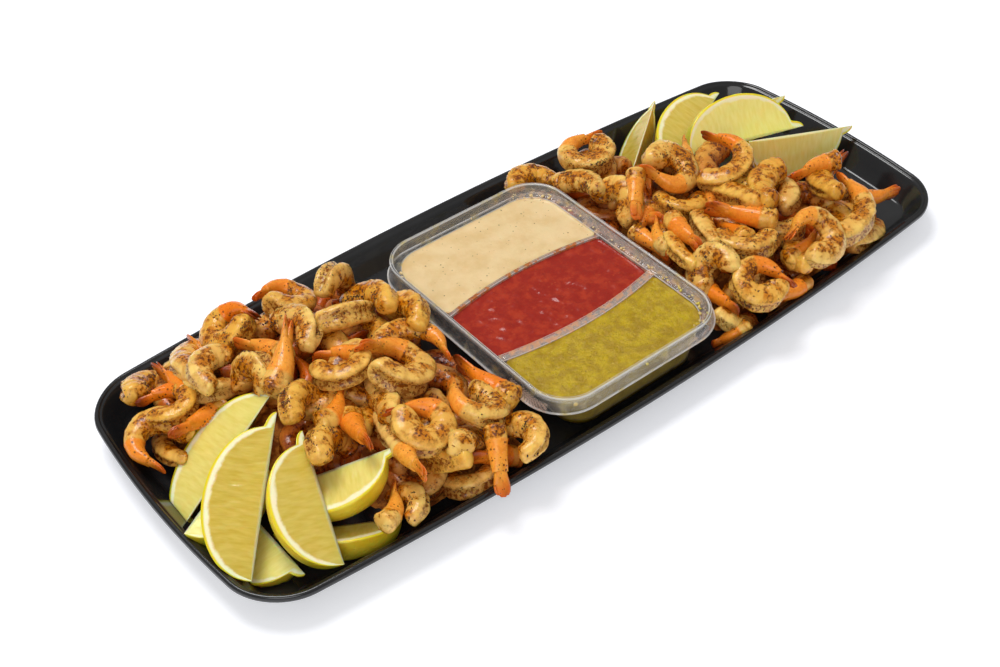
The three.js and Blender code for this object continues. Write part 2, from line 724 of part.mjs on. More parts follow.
const platter = new THREE.Group();
const room = makeTrayRoom();
const dips = makeCompartments(GAP, CONTAINER_TOP);
platter.add(toMesh('tray', makeTray(), BLACK_PLASTIC));
platter.add(toMesh('dip_container', makeDipContainer(), CLEAR_PLASTIC));
platter.add(toMesh('cream_dip', makeDip(dips.cream, CREAM_LEVEL), CREAM_DIP));
platter.add(toMesh('red_sauce', makeDip(dips.red, RED_LEVEL), RED_SAUCE));
platter.add(toMesh('green_dip', makeDip(dips.green, GREEN_LEVEL), GREEN_DIP));

makeWedges(room).forEach((wedge, index) => {
  platter.add(toMesh(`lemon_wedge_${index + 1}`, wedge, LEMON));
});

const neighbours = [makeContainerBlock(GAP), ...LEMON_WEDGES.map((place) => makeWedge(place, GAP))];
const leftHeap = makeHeap(LEFT_SHRIMPS, LEFT_FOOTPRINT, room, neighbours);
const rightHeap = makeHeap(RIGHT_SHRIMPS, RIGHT_FOOTPRINT, room, neighbours);
platter.add(toMesh('shrimp_heap_left', leftHeap, SHRIMP));
platter.add(toMesh('shrimp_heap_right', rightHeap, SHRIMP));

export default platter;
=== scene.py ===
# Looks of the shrimp cocktail platter: the black tray, the clear dip container with its three
# dips, the lemon wedges, and two heaps of seasoned shrimps. Lengths in the layout are
# millimetres, as in the part's source; meshes are in metres, in the part's own frame.

import math
import random

import bpy
import numpy as np
from mathutils import Matrix, Vector, noise


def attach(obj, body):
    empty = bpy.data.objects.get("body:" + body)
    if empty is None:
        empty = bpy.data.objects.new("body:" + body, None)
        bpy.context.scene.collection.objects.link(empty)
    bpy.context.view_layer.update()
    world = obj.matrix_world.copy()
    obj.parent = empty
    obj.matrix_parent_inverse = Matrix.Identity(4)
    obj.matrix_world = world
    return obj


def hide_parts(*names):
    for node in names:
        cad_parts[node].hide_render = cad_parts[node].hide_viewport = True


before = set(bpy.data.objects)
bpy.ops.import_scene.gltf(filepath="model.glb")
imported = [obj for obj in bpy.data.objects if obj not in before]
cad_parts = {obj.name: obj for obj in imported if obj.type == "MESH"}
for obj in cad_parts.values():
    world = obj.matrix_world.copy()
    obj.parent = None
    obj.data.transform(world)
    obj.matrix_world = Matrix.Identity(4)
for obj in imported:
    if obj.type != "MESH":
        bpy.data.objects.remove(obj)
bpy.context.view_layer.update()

MM = 0.001
SEED = 4107

# ---- dimensions

TRAY_HALF_LENGTH = 222
TRAY_HALF_WIDTH = 82.3
TRAY_CORNER = 24.4
TRAY_INNER_CORNER = 6
TRAY_END_BOW = 6.5
TRAY_SIDE_BOW = 10.7
TRAY_FLOOR = 4
GAP = 0.35  # clearance between pieces that touch
WALL_TOP = 16.4
WALL_FOOT = 5.2
WALL_FOOT_INSET = 12.2
RIM_WIDTH = 3.6

# Outlines of the dip container: middle x, middle y, half x, half y, corner radius.
POCKET_FLOOR = (-5.5, -11.5, 41, 65.5, 13)
POCKET_TOP = (-8.6, -12, 49.5, 68, 17)
MOUTH = (-8.8, -12, 52.8, 70.6, 18.4)
RIM = (-8.8, -12, 54.8, 72.6, 20)
LIP = (-7.3, -11.1, 58.7, 74.1, 24)
CONTAINER_BASE = TRAY_FLOOR + GAP
CONTAINER_TOP = 36
LIP_HEIGHT = 25.4
POCKET_HEIGHT = 29.6
DIVIDER_BOW = 6.4
DIVIDER_REACH = POCKET_TOP[2] + 4
# Each divider: its y at the middle, its thickness, and the way it bows.
FAR_DIVIDER = (4.2, 2.4, 1)
NEAR_DIVIDER = (-33.8, 5.2, -1)
PLASTIC = 0.7  # thickness of the container's wall
CREAM_LEVEL = 28.8
RED_LEVEL = 27.6
GREEN_LEVEL = 28.4

# Where the skirt and lip are patterned for the fingers.
GRIP_SIDE = -60.5
GRIP_ENDS = (-74, -48)
GRIP_TOP = 31
GRIP_PITCH = 1.7

LEMON_NIPPLE = 5.5
LEMON_NIPPLE_SHARE = 0.18
WEDGE_ANGLE = 50

SHRIMP_LENGTH = 70
CURL_END = 0.68  # the curl fades out from here to the tail
CURL_FADE = 0.16
TAIL_CURL = 0.08
# The part of a shrimp that shows, as shares of its length.
WHOLE = (0.0, 1.0)
BODY = (0.0, 0.62)
TAIL = (0.52, 1.0)

# Each shrimp: x, y, z of its middle, turn, curl, lean, pitch, size, part.
LEFT_SHRIMPS = [
    # along the tray's far side
    (-119, 60, 38, 210, 310, -15, 20, 0.95, WHOLE),
    (-92, 53, 38, 215, -220, 80, -10, 0.9, BODY),
    (-148, 59, 38, 275, -320, -30, 15, 1, WHOLE),
    (-164, 62, 28, 95, 60, 0, -10, 1, TAIL),
    (-173, 60, 28, 310, 120, -25, 5, 1, BODY),
    (-186, 52, 28, 100, 70, 0, 0, 1, TAIL),
    (-193, 68, 18, 305, -140, 30, 0, 0.95, BODY),
    # beside the dip container
    (-103, 24, 42, 130, 170, 40, -30, 0.95, BODY),
    (-87, 29, 40, 195, -160, -30, -20, 1, BODY),
    (-79, 10, 41, 175, -170, -20, -35, 0.95, BODY),
    (-88, -8, 40, 250, -170, 0, 0, 0.8, WHOLE),
    (-77, -46, 35, 95, -20, 0, 0, 1.2, TAIL),
    (-80, -80, 28, 95, -260, 15, -15, 0.85, BODY),
    # the top of the heap
    (-128, 31, 44, 170, -170, -10, -25, 0.95, BODY),
    (-107, -18, 45, 180, 280, -10, 25, 1.05, WHOLE),
    (-127, -2, 44, 150, 290, 10, -10, 0.9, WHOLE),
    (-145, 18, 46, 50, 60, 0, 15, 1.3, TAIL),
    (-148, 32, 42, 120, 80, 0, -10, 1, TAIL),
    (-172, 40, 38, 340, 200, 0, -20, 0.9, BODY),
    (-159, 22, 38, 95, -320, 60, -15, 0.95, BODY),
    (-153, -10, 42, 240, -210, 55, -15, 0.9, BODY),
    (-142, -19, 40, 52, 180, 10, -5, 1, TAIL),
    (-123, -28, 34, 190, -140, -35, -15, 1, BODY),
    # the tray's end
    (-195, 42, 28, 175, 260, 5, -5, 0.8, WHOLE),
    (-208, 32, 20, 290, 240, 5, -5, 0.9, WHOLE),
    (-189, 25, 26, 190, 10, 0, 10, 1, TAIL),
    (-204, 29, 12, 335, 110, -15, 0, 0.7, BODY),
    # beside the lemon wedges
    (-143, -40, 41, 260, 40, 0, 20, 1.05, TAIL),
    (-155, -34, 35, 255, -190, 50, -10, 0.95, BODY),
    (-130, -52, 36, 260, 20, -5, 15, 0.95, WHOLE),
    (-140, -71, 18, 115, -250, 10, -25, 0.75, BODY),
    (-148, -70, 22, 60, 150, 10, -10, 0.95, TAIL),
    # along the tray's near side
    (-120, -53, 42, 170, 340, -15, 5, 1, WHOLE),
    (-91, -56, 39, 60, -280, -25, -10, 0.9, WHOLE),
    (-100, -85, 30, 240, 10, 75, -30, 1, TAIL),
    (-95, -75, 20, 180, 60, 0, 30, 1, TAIL),
    (-109, -75, 14, 150, 310, 20, -10, 0.85, BODY),
    (-101, -67, 28, 315, -110, 40, -5, 1, BODY),
    (-115, -63, 24, 340, 120, -35, 5, 1, BODY),
]
RIGHT_SHRIMPS = [
    # along the tray's far side
    (83, 61, 34, 345, -320, -5, 0, 1.05, WHOLE),
    (47, 67, 28, 215, -220, 10, 5, 0.85, BODY),
    (61, 42, 32, 215, -110, -25, -5, 0.9, BODY),
    # the top of the heap
    (66, 16, 34, 255, 280, 45, -10, 1, BODY),
    (68, 6, 42, 230, 40, 60, -10, 1, TAIL),
    (95, 10, 44, 120, -300, 5, 25, 1, WHOLE),
    (121, 22, 36, 50, 60, 0, -5, 1, TAIL),
    (126, -3, 44, 115, 200, -15, -5, 0.95, WHOLE),
    (111, -25, 39, 265, 0, 0, 20, 1, BODY),
    (126, -34, 44, 305, 150, -5, 15, 1.05, BODY),
    # the tray's end
    (163, -35, 38, 175, 80, 0, -5, 1, TAIL),
    (162, -44, 34, 290, 90, -10, 20, 1, BODY),
    (156, -68, 33, 80, 120, -5, 0, 1, WHOLE),
    (188, -61, 22, 350, 40, 0, -10, 1, TAIL),
    (184, -30, 26, 10, 60, 0, 0, 1, TAIL),
    (182, -46, 17, 225, -190, 10, 10, 0.75, BODY),
    (164, -75, 15, 50, 60, 15, -10, 0.95, BODY),
    # beside the dip container
    (99, -41, 42, 120, -10, 0, 0, 1.15, TAIL),
    (87, -56, 38, 340, -260, 5, 0, 0.95, BODY),
    (92, -41, 34, 85, 40, 0, -20, 1, TAIL),
    (69, -31, 38, 255, 20, -5, 5, 1.05, TAIL),
    (81, -34, 36, 260, 30, -5, 10, 0.8, BODY),
    (60, -36, 34, 290, 60, -10, -5, 0.7, BODY),
    (64, -17, 32, 45, -170, 10, 0, 0.9, TAIL),
    (57, -18, 30, 265, -20, 0, 0, 0.85, TAIL),
    (68, -2, 30, 215, 60, 5, 0, 0.85, TAIL),
    (63, -56, 34, 130, -320, 35, -45, 1, BODY),
    # along the tray's near side
    (117, -75, 40, 200, 270, -35, -10, 0.95, WHOLE),
    (116, -71, 30, 20, 90, 0, 0, 1, TAIL),
    (76, -80, 34, 280, -320, -15, -20, 0.95, WHOLE),
    (59, -68, 24, 265, 40, 0, 10, 0.95, TAIL),
    (62, -77, 13, 70, 140, 35, 5, 0.8, BODY),
    (53, -81, 11, 145, -50, 5, -35, 0.75, TAIL),
    (116, -69, 22, 295, 120, -25, 10, 1, BODY),
    (93, -84, 20, 185, -10, 0, 10, 0.95, TAIL),
]

# Shrimps that show through gaps of the upper layer, given as the ones above.
UNDER_SHRIMPS = [
    (134, 13, 28, 300, 140, 0, 0, 1.05, BODY),
]

# Each wedge: x, y, z of its ridge's middle, turn, pitch, roll, length, radius, nipple's end.
LEMON_WEDGES = [
    (-172, -53, 30, 72, 25, 16, 63, 25, 1),
    (-191, -36, 30, 46, 23, 8, 77, 26.5, 1),
    (-188, -2, 25, 15, 27, -10, 76, 26.5, 1),
    (-158, -43, 30, 152, -17, -2, 56, 22.6, -1),
    (-201, -11, 21, 28, 2, -125, 57, 24, 1),
    (-195, -39, 12, 90, 0, -15, 63, 27.5, -1),
    (-168, -55, 9, 148, -2, 25, 57, 17, 1),
    (168, 17, 26, -14, -2, 50, 76, 27.5, 1),
    (191, -2, 31, 165, 8, -70, 72, 26.5, -1),
    (158, 48, 24, 23, 4, 22, 70, 21, 1),
    (123, 57, 27, 32, 20, -50, 54, 22, 1),
    (190, 46, 24, 157, -6, -60, 60, 22, -1),
]

# How pale each wedge's flesh is, from deep yellow at 0 to pale yellow at 1; partly each wedge's own
# tone and partly painted light, raised for wedges whose faces lie in shade.
WEDGE_PALENESS_AND_PAINTED_LIGHT = (0.1, 0, 0.6, 0.6, 0.8, 0.8, 0.3, 1, 1, 0.15, 0, 0.7)

# Each heap's outline on the tray, anticlockwise, that its lower layer and core keep inside.
LEFT_FOOTPRINT = [(-50, -90), (-52, 50), (-76, 88), (-216, 88), (-228, 26), (-146, -90)]
RIGHT_FOOTPRINT = [(36, -92), (192, -92), (224, -60), (224, -34), (94, 92), (34, 92)]

# ---- camera

CAMERA_PLACE = (-0.36494, -0.41675, 0.49863)
CAMERA_TURN = -38.7856
CAMERA_LIFT = 42.7475
CAMERA_ROLL = -0.6668
CAMERA_LENS = 51.09


def place_camera():
    turn, lift, roll = (math.radians(angle) for angle in (CAMERA_TURN, CAMERA_LIFT, CAMERA_ROLL))
    back = Vector(
        (math.sin(turn) * math.cos(lift), -math.cos(turn) * math.cos(lift), math.sin(lift))
    )
    level = Vector((math.cos(turn), math.sin(turn), 0))
    upright = back.cross(level)
    right = level * math.cos(roll) + upright * math.sin(roll)
    up = back.cross(right)
    camera = bpy.data.objects.new("camera", bpy.data.cameras.new("camera"))
    camera.matrix_world = Matrix((right, up, back)).transposed().to_4x4()
    camera.location = CAMERA_PLACE
    camera.data.lens = CAMERA_LENS
    camera.data.sensor_width = 36
    camera.data.clip_start = 0.01
    bpy.context.scene.collection.objects.link(camera)
    bpy.context.scene.camera = camera


place_camera()

# ---- mesh building


def mesh_piece(name, material, points, faces, marks=None, stands_for=()):
    """A named piece from points in millimetres; marks are numbers kept at its points."""
    mesh = bpy.data.meshes.new(name)
    mesh.from_pydata((np.asarray(points) * MM).tolist(), [], [list(face) for face in faces])
    for key, values in (marks or {}).items():
        attribute = mesh.attributes.new(key, "FLOAT", "POINT")
        attribute.data.foreach_set("value", np.asarray(values, np.float32))
    mesh.polygons.foreach_set("use_smooth", [True] * len(mesh.polygons))
    mesh.materials.append(material)
    mesh.update()
    piece = bpy.data.objects.new(name, mesh)
    bpy.context.scene.collection.objects.link(piece)
    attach(piece, "root")
    if stands_for:
        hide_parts(*stands_for)
    return piece


def skin_rings(rings, first=0):
    """Faces over equal rings of points, numbered from first, with both ends filled."""
    count, sides = len(rings), len(rings[0])
    faces = []
    for ring in range(count - 1):
        low = first + ring * sides
        high = low + sides
        for side in range(sides):
            after = (side + 1) % sides
            faces.append((low + side, low + after, high + after, high + side))
    faces.append(tuple(first + side for side in reversed(range(sides))))
    faces.append(tuple(first + (count - 1) * sides + side for side in range(sides)))
    return faces


def ripple(points, scale, salt=0.0):
    """Smooth noise of about -1 to 1 at points in millimetres, one bump per scale."""
    shift = Vector((salt, 3.1 * salt, -1.7 * salt))
    return np.array([noise.noise(Vector(point) / scale + shift) for point in points.tolist()])


def rounded_rectangle(outline, arc_steps, steps_y, steps_x):
    """Points round a rectangle with round corners, anticlockwise from its low right corner."""
    x, y, half_x, half_y, corner = outline
    signs = ((1, -1), (1, 1), (-1, 1), (-1, -1))

    def corner_point(quarter, share):
        sign_x, sign_y = signs[quarter % 4]
        angle = math.radians(90 * (quarter - 1 + share))
        return np.array(
            (
                x + sign_x * (half_x - corner) + corner * math.cos(angle),
                y + sign_y * (half_y - corner) + corner * math.sin(angle),
            )
        )

    points = []
    for quarter in range(4):
        points += [corner_point(quarter, step / arc_steps) for step in range(arc_steps + 1)]
        start, end = corner_point(quarter, 1), corner_point(quarter + 1, 0)
        steps = steps_x if quarter % 2 else steps_y
        points += [start + (end - start) * step / steps for step in range(1, steps)]
    return np.array(points)


# ---- tray


def tray_ring(inset, z):
    """Points round the tray at a height, so far in from its edge, bowed as its sides are."""
    corner = max(TRAY_CORNER - inset, TRAY_INNER_CORNER)
    outline = (0, 0, TRAY_HALF_LENGTH - inset, TRAY_HALF_WIDTH - inset, corner)
    ring = rounded_rectangle(outline, 14, 14, 30)
    along_x = ring[:, 0] / TRAY_HALF_LENGTH
    along_y = ring[:, 1] / TRAY_HALF_WIDTH
    bowed_x = ring[:, 0] + TRAY_END_BOW * along_x * np.maximum(1 - along_y**2, 0)
    bowed_y = ring[:, 1] + TRAY_SIDE_BOW * along_y * np.maximum(1 - along_x**2, 0)
    return np.column_stack((bowed_x, bowed_y, np.full(len(ring), z)))


def build_tray(material):
    """The tray from the middle of its underside, over the rim, to the middle of its floor."""
    # how far in from the edge, and height
    profile = [
        (58, 0), (58.6, 0.4), (59, 2), (29, 2), (28.4, 0.4), (28, 0), (17.2, 0), (16.3, 0.25),
        (15.4, 0.8), (13.2, 2.2), (8.1, 8.4), (3.2, 14.3), (2.6, 14.6), (1.0, 14.6), (0.4, 14.9),
        (0.05, 15.5), (0, 16.3), (0.15, 17.1), (0.55, 17.7), (1.2, 18), (1.9, 17.95),
        (2.4, 17.6), (2.7, 17.1), (3.1, 16.85), (3.7, 16.7), (4.2, 16.2), (4.9, 15.3),
        (8.4, 10.5), (12, 5.5), (12.9, 4.7), (13.9, 4.2), (15.5, 4), (30, 4), (60, 4),
    ]
    rings = [tray_ring(*station) for station in profile]
    cloud, faces = np.concatenate(rings), skin_rings(rings)
    mesh_piece("tray_shell", material, cloud, faces, stands_for=("tray",))


# ---- dip container


def between(low, high, share):
    return tuple(a + (b - a) * share for a, b in zip(low, high))


def pocket_outline(z):
    """The outline of the container's inner wall at a height."""
    foot = CONTAINER_BASE + 3.2
    if z <= POCKET_HEIGHT:
        return between(POCKET_FLOOR, POCKET_TOP, max(z - foot, 0) / (POCKET_HEIGHT - foot))
    rise = min((z - POCKET_HEIGHT) / (CONTAINER_TOP - 1.5 - POCKET_HEIGHT), 1)
    return between(POCKET_TOP, MOUTH, rise)


def container_ring(outline, grow, z):
    """Points round one of the container's outlines, grown by a little, at a height."""
    x, y, half_x, half_y, corner = outline
    grown = (x, y, half_x + grow, half_y + grow, corner + grow)
    ring = rounded_rectangle(grown, 12, 10, 10)
    return np.column_stack((ring, np.full(len(ring), z)))


def divider_line(x, divider):
    """The middle of a divider at x, bowed away from the middle compartment."""
    y, _, side = divider
    share = (x - POCKET_TOP[0]) / DIVIDER_REACH
    return y + side * DIVIDER_BOW * (1 - share**2)


def build_container(material):
    """The thin shell of the container, from its inner bottom over the rim to the skirt."""
    inner_foot = CONTAINER_BASE + 1.3
    # outline, growth, height, and how much painted highlight the edge there has
    shell = [
        (POCKET_FLOOR, -6, inner_foot, 0),
        (POCKET_FLOOR, -2.4, inner_foot + 0.1, 0),
        (POCKET_FLOOR, -0.8, inner_foot + 0.8, 0),
        *((pocket_outline(z), 0, z, 0) for z in (9, 16, 23)),
        (POCKET_TOP, 0, POCKET_HEIGHT - 0.3, 0.3),
        (POCKET_TOP, 0.1, POCKET_HEIGHT, 1),
        (between(POCKET_TOP, MOUTH, 0.3), 0, POCKET_HEIGHT + 0.5, 0),
        (between(POCKET_TOP, MOUTH, 0.75), 0, POCKET_HEIGHT + 0.9, 0),
        (MOUTH, 0, POCKET_HEIGHT + 2, 0.2),
        (MOUTH, 0.1, CONTAINER_TOP - 1.4, 0),
        (MOUTH, 0.4, CONTAINER_TOP - 0.4, 0.9),
        (MOUTH, 0.8, CONTAINER_TOP, 1),
        (RIM, -0.9, CONTAINER_TOP, 0.1),
        (RIM, -0.3, CONTAINER_TOP - 0.2, 1),
        (RIM, 0, CONTAINER_TOP - 0.8, 0.7),
        (RIM, 0.15, CONTAINER_TOP - 2.4, 0),
        (RIM, 0.3, LIP_HEIGHT + 4, 0),
        (RIM, 0.9, LIP_HEIGHT + 2, 0.1),
        (LIP, -0.9, LIP_HEIGHT + 1.1, 0.6),
        (LIP, -0.2, LIP_HEIGHT + 0.9, 1),
        (LIP, 0, LIP_HEIGHT + 0.5, 1),
        (LIP, -0.2, LIP_HEIGHT, 0.8),
        (LIP, -1.4, LIP_HEIGHT + 0.35, 0.2),
        (RIM, 0.2, LIP_HEIGHT + 1.3, 0),
        (RIM, -PLASTIC + 0.2, LIP_HEIGHT + 3.6, 0),
        (RIM, -PLASTIC, CONTAINER_TOP - 1, 0),
        (MOUTH, PLASTIC, CONTAINER_TOP - 1.3, 0),
        (MOUTH, PLASTIC, POCKET_HEIGHT + 1.8, 0),
        (between(POCKET_TOP, MOUTH, 0.3), PLASTIC, POCKET_HEIGHT - 0.3, 0),
        (POCKET_TOP, PLASTIC, POCKET_HEIGHT - 0.8, 0),
        *((pocket_outline(z), PLASTIC, z, 0) for z in (23, 16, 9)),
        (POCKET_FLOOR, -0.4, inner_foot, 0.3),
        (POCKET_FLOOR, -2.2, CONTAINER_BASE + 0.5, 0),
        (POCKET_FLOOR, -6, CONTAINER_BASE + 0.4, 0),
    ]
    rings = [container_ring(*station[:3]) for station in shell]
    points, faces = [np.concatenate(rings)], skin_rings(rings)
    # the inner wall over the dips is smeared, most of all on its right side
    inner = [abs(z - POCKET_HEIGHT) < 4 and grow < PLASTIC for _, grow, z, _ in shell]
    right_side = np.clip((points[0][:, 0] - RIM[0]) / 60, 0.1, 0.6)
    marks = {
        "edge_highlight": [np.repeat([station[3] for station in shell], len(rings[0]))],
        "soiled": [np.repeat(np.array(inner, float), len(rings[0])) * right_side],
        "rusty": [np.zeros(len(points[0]))],
    }
    for divider in (FAR_DIVIDER, NEAR_DIVIDER):
        strip, strip_faces, strip_highlight = divider_strip(divider, sum(map(len, points)))
        points.append(strip)
        faces += strip_faces
        marks["edge_highlight"].append(strip_highlight)
        marks["soiled"].append(np.ones(len(strip)))
        marks["rusty"].append(np.full(len(strip), float(divider is FAR_DIVIDER)))
    marks = {key: np.concatenate(values) for key, values in marks.items()}
    cloud = np.concatenate(points)
    mesh_piece("clear_container", material, cloud, faces, marks, ("dip_container",))


def divider_strip(divider, first):
    """A divider: a folded web of the same plastic, open underneath."""
    _, thickness, _ = divider
    half = thickness / 2
    top = POCKET_HEIGHT
    foot = CONTAINER_BASE + 1.5
    web = min(PLASTIC, 0.45 * half)
    section = [
        (-half - 0.9, foot), (-half, foot + 2), (-half, top - 0.6), (-half + 0.4, top - 0.1),
        (-half + 0.8, top), (half - 0.8, top), (half - 0.4, top - 0.1), (half, top - 0.6),
        (half, foot + 2), (half + 0.9, foot), (half + 0.9 - web, foot), (half - web, foot + 2),
        (half - web, top - web - 0.4), (-half + web, top - web - 0.4), (-half + web, foot + 2),
        (-half - 0.9 + web, foot),
    ]
    rings = []
    reach = POCKET_TOP[2]
    for x in np.linspace(POCKET_TOP[0] - reach, POCKET_TOP[0] + reach, 41):
        y = divider_line(x, divider)
        share = (x - POCKET_TOP[0]) / reach
        ring = []
        for offset, z in section:
            middle, _, half_x, _, _ = pocket_outline(z)
            ring.append((middle + share * (half_x + 0.15), y + offset, z))
        rings.append(np.array(ring))
    # painted highlight along the top edges of the divider
    pale = [0, 0, 0.3, 0.9, 0.1, 0.1, 0.9, 0.3, 0, 0, 0, 0, 0, 0, 0, 0]
    return np.concatenate(rings), skin_rings(rings, first), np.tile(pale, len(rings))


CRUMBS = 90
CRUMB_SIDES = 6
CRUMB_LEVELS = ((-0.3, 0.7), (0.35, 0.9))  # heights and girths of a crumb's two rings
CRUMB_BARE = 30  # the ledge is nearly clean up to this far right of the middle
CRUMB_SKIPS = 0.85


def build_crumbs(name, material):
    """Crumbs of the dips left on the container's inner ledge, mostly on its right side."""
    rnd = random.Random(SEED)
    ledge = container_ring(MOUTH, -1.3, POCKET_HEIGHT + 1.0)
    points, faces, kinds = [], [], []
    for _ in range(CRUMBS):
        x, y, z = ledge[rnd.randrange(len(ledge))]
        while x < RIM[0] + CRUMB_BARE and rnd.random() < CRUMB_SKIPS:
            x, y, z = ledge[rnd.randrange(len(ledge))]
        x, y = x + rnd.uniform(-1.2, 1.2), y + rnd.uniform(-3, 3)
        size = rnd.uniform(0.35, 1.1) ** 1.3
        first, lean = len(points), rnd.uniform(0, math.pi)
        stretch = rnd.uniform(0.6, 1.6)
        for level, girth in CRUMB_LEVELS:
            for side in range(CRUMB_SIDES):
                angle = 2 * math.pi * side / CRUMB_SIDES
                across = size * girth * rnd.uniform(0.75, 1.2) * stretch * math.cos(angle)
                along = size * girth * rnd.uniform(0.75, 1.2) * math.sin(angle)
                place_x = x + across * math.cos(lean) - along * math.sin(lean)
                place_y = y + across * math.sin(lean) + along * math.cos(lean)
                points.append((place_x, place_y, z + size * level))
        points += [(x, y, z - 0.5 * size), (x, y, z + 0.75 * size)]
        bottom = first + 2 * CRUMB_SIDES
        for side in range(CRUMB_SIDES):
            low, low_after = first + side, first + (side + 1) % CRUMB_SIDES
            high, high_after = low + CRUMB_SIDES, low_after + CRUMB_SIDES
            faces.append((low, low_after, high_after, high))
            faces += [(low_after, low, bottom), (high, high_after, bottom + 1)]
        kind = 0.0 if y > NEAR_DIVIDER[0] else rnd.choice((0.5, 1.0))
        kinds += [kind] * (2 * CRUMB_SIDES + 2)
    mesh_piece(name, material, points, faces, {"kind": kinds})


DIP_SOFTNESS = 1.2  # how round a dip's corners are
DIP_OVERLAP = 0.25  # how far a dip reaches into the wall
DIP_SIDES = 220
DIP_CIRCLES = 70
FARTHEST_REACH = 1.8  # beyond every wall, as a share of a compartment's half size
HALVINGS = 18


def compartment_edge(x, y, z, far, near, grow):
    """Below zero inside a compartment grown by a little, above it outside; round at its corners."""
    middle_x, middle_y, half_x, half_y, corner = pocket_outline(z)
    past_x = abs(x - middle_x) - (half_x + grow - corner)
    past_y = abs(y - middle_y) - (half_y + grow - corner)
    wall = math.hypot(max(past_x, 0), max(past_y, 0)) + min(max(past_x, past_y), 0) - corner
    edges = [wall]
    if far:
        edges.append(y - divider_line(x, far) + far[1] / 2 - grow)
    if near:
        edges.append(divider_line(x, near) + near[1] / 2 - y - grow)
    peak = max(edges)
    spread = sum(math.exp((edge - peak) / DIP_SOFTNESS) for edge in edges)
    return peak + DIP_SOFTNESS * math.log(spread)


def compartment_ring(z, far, near):
    """A dip's outline at a height, found by halving along rays from its middle, and that middle."""
    middle_x = POCKET_TOP[0]
    low = divider_line(middle_x, near) if near else POCKET_TOP[1] - POCKET_TOP[3]
    high = divider_line(middle_x, far) if far else POCKET_TOP[1] + POCKET_TOP[3]
    start_y = (low + high) / 2
    half_wide, half_deep = POCKET_TOP[2], (high - low) / 2
    ring = []
    for side in range(DIP_SIDES):
        angle = 2 * math.pi * side / DIP_SIDES
        ray_x, ray_y = half_wide * math.cos(angle), half_deep * math.sin(angle)
        inside, outside = 0.0, FARTHEST_REACH
        for _ in range(HALVINGS):
            reach = (inside + outside) / 2
            x, y = middle_x + reach * ray_x, start_y + reach * ray_y
            if compartment_edge(x, y, z, far, near, DIP_OVERLAP) < 0:
                inside = reach
            else:
                outside = reach
        ring.append((middle_x + inside * ray_x, start_y + inside * ray_y))
    return np.array(ring), np.array((middle_x, start_y))


def build_dip(name, node, material, level, far, near, surface):
    """One dip, reaching just into the container's wall, with its surface worked by spoon."""
    outline, middle = compartment_ring(level, far, near)
    points = []
    for z in (CONTAINER_BASE + 1.6, CONTAINER_BASE + 6, 17, 23, level - 1.2):
        ring, _ = compartment_ring(z, far, near)
        points.append(np.column_stack((ring, np.full(DIP_SIDES, z))))
    for circle in range(DIP_CIRCLES):
        ring = middle + (outline - middle) * (1 - circle / DIP_CIRCLES) ** 0.92
        edge = np.linalg.norm(outline - ring, axis=1)
        flat = np.column_stack((ring, np.zeros(DIP_SIDES)))
        # the surface is level at the wall, and creeps up it a little
        lift = surface(flat) * np.clip(edge / 2.5, 0, 1) + 0.7 * np.exp(-edge / 0.9)
        points.append(np.column_stack((ring, level + lift)))
    faces = skin_rings(points)
    mesh_piece(name, material, np.concatenate(points), faces, stands_for=(node,))


def cream_surface(points):
    swirl = points * np.array((1, 2.2, 1))
    return 0.35 * ripple(swirl, 21, 2.0) + 0.12 * ripple(points, 6, 5.0)


def red_surface(points):
    chunks = ripple(points, 4.6, 8.0)
    ridges = np.maximum(chunks, -0.1)
    return 0.8 * ripple(points, 15, 1.0) + 0.8 * ridges + 0.14 * ripple(points, 1.8, 4.0)


def green_surface(points):
    grain = 0.32 * ripple(points, 1.5, 6.0) + 0.3 * ripple(points, 3.4, 9.0)
    return 0.6 * ripple(points, 18, 3.0) + grain


# ---- lemon


CLEARANCE = 0.4  # kept between a wedge or the tray's wall and what lies against it
FACE_STEPS = 14
RIND_STEPS = 14


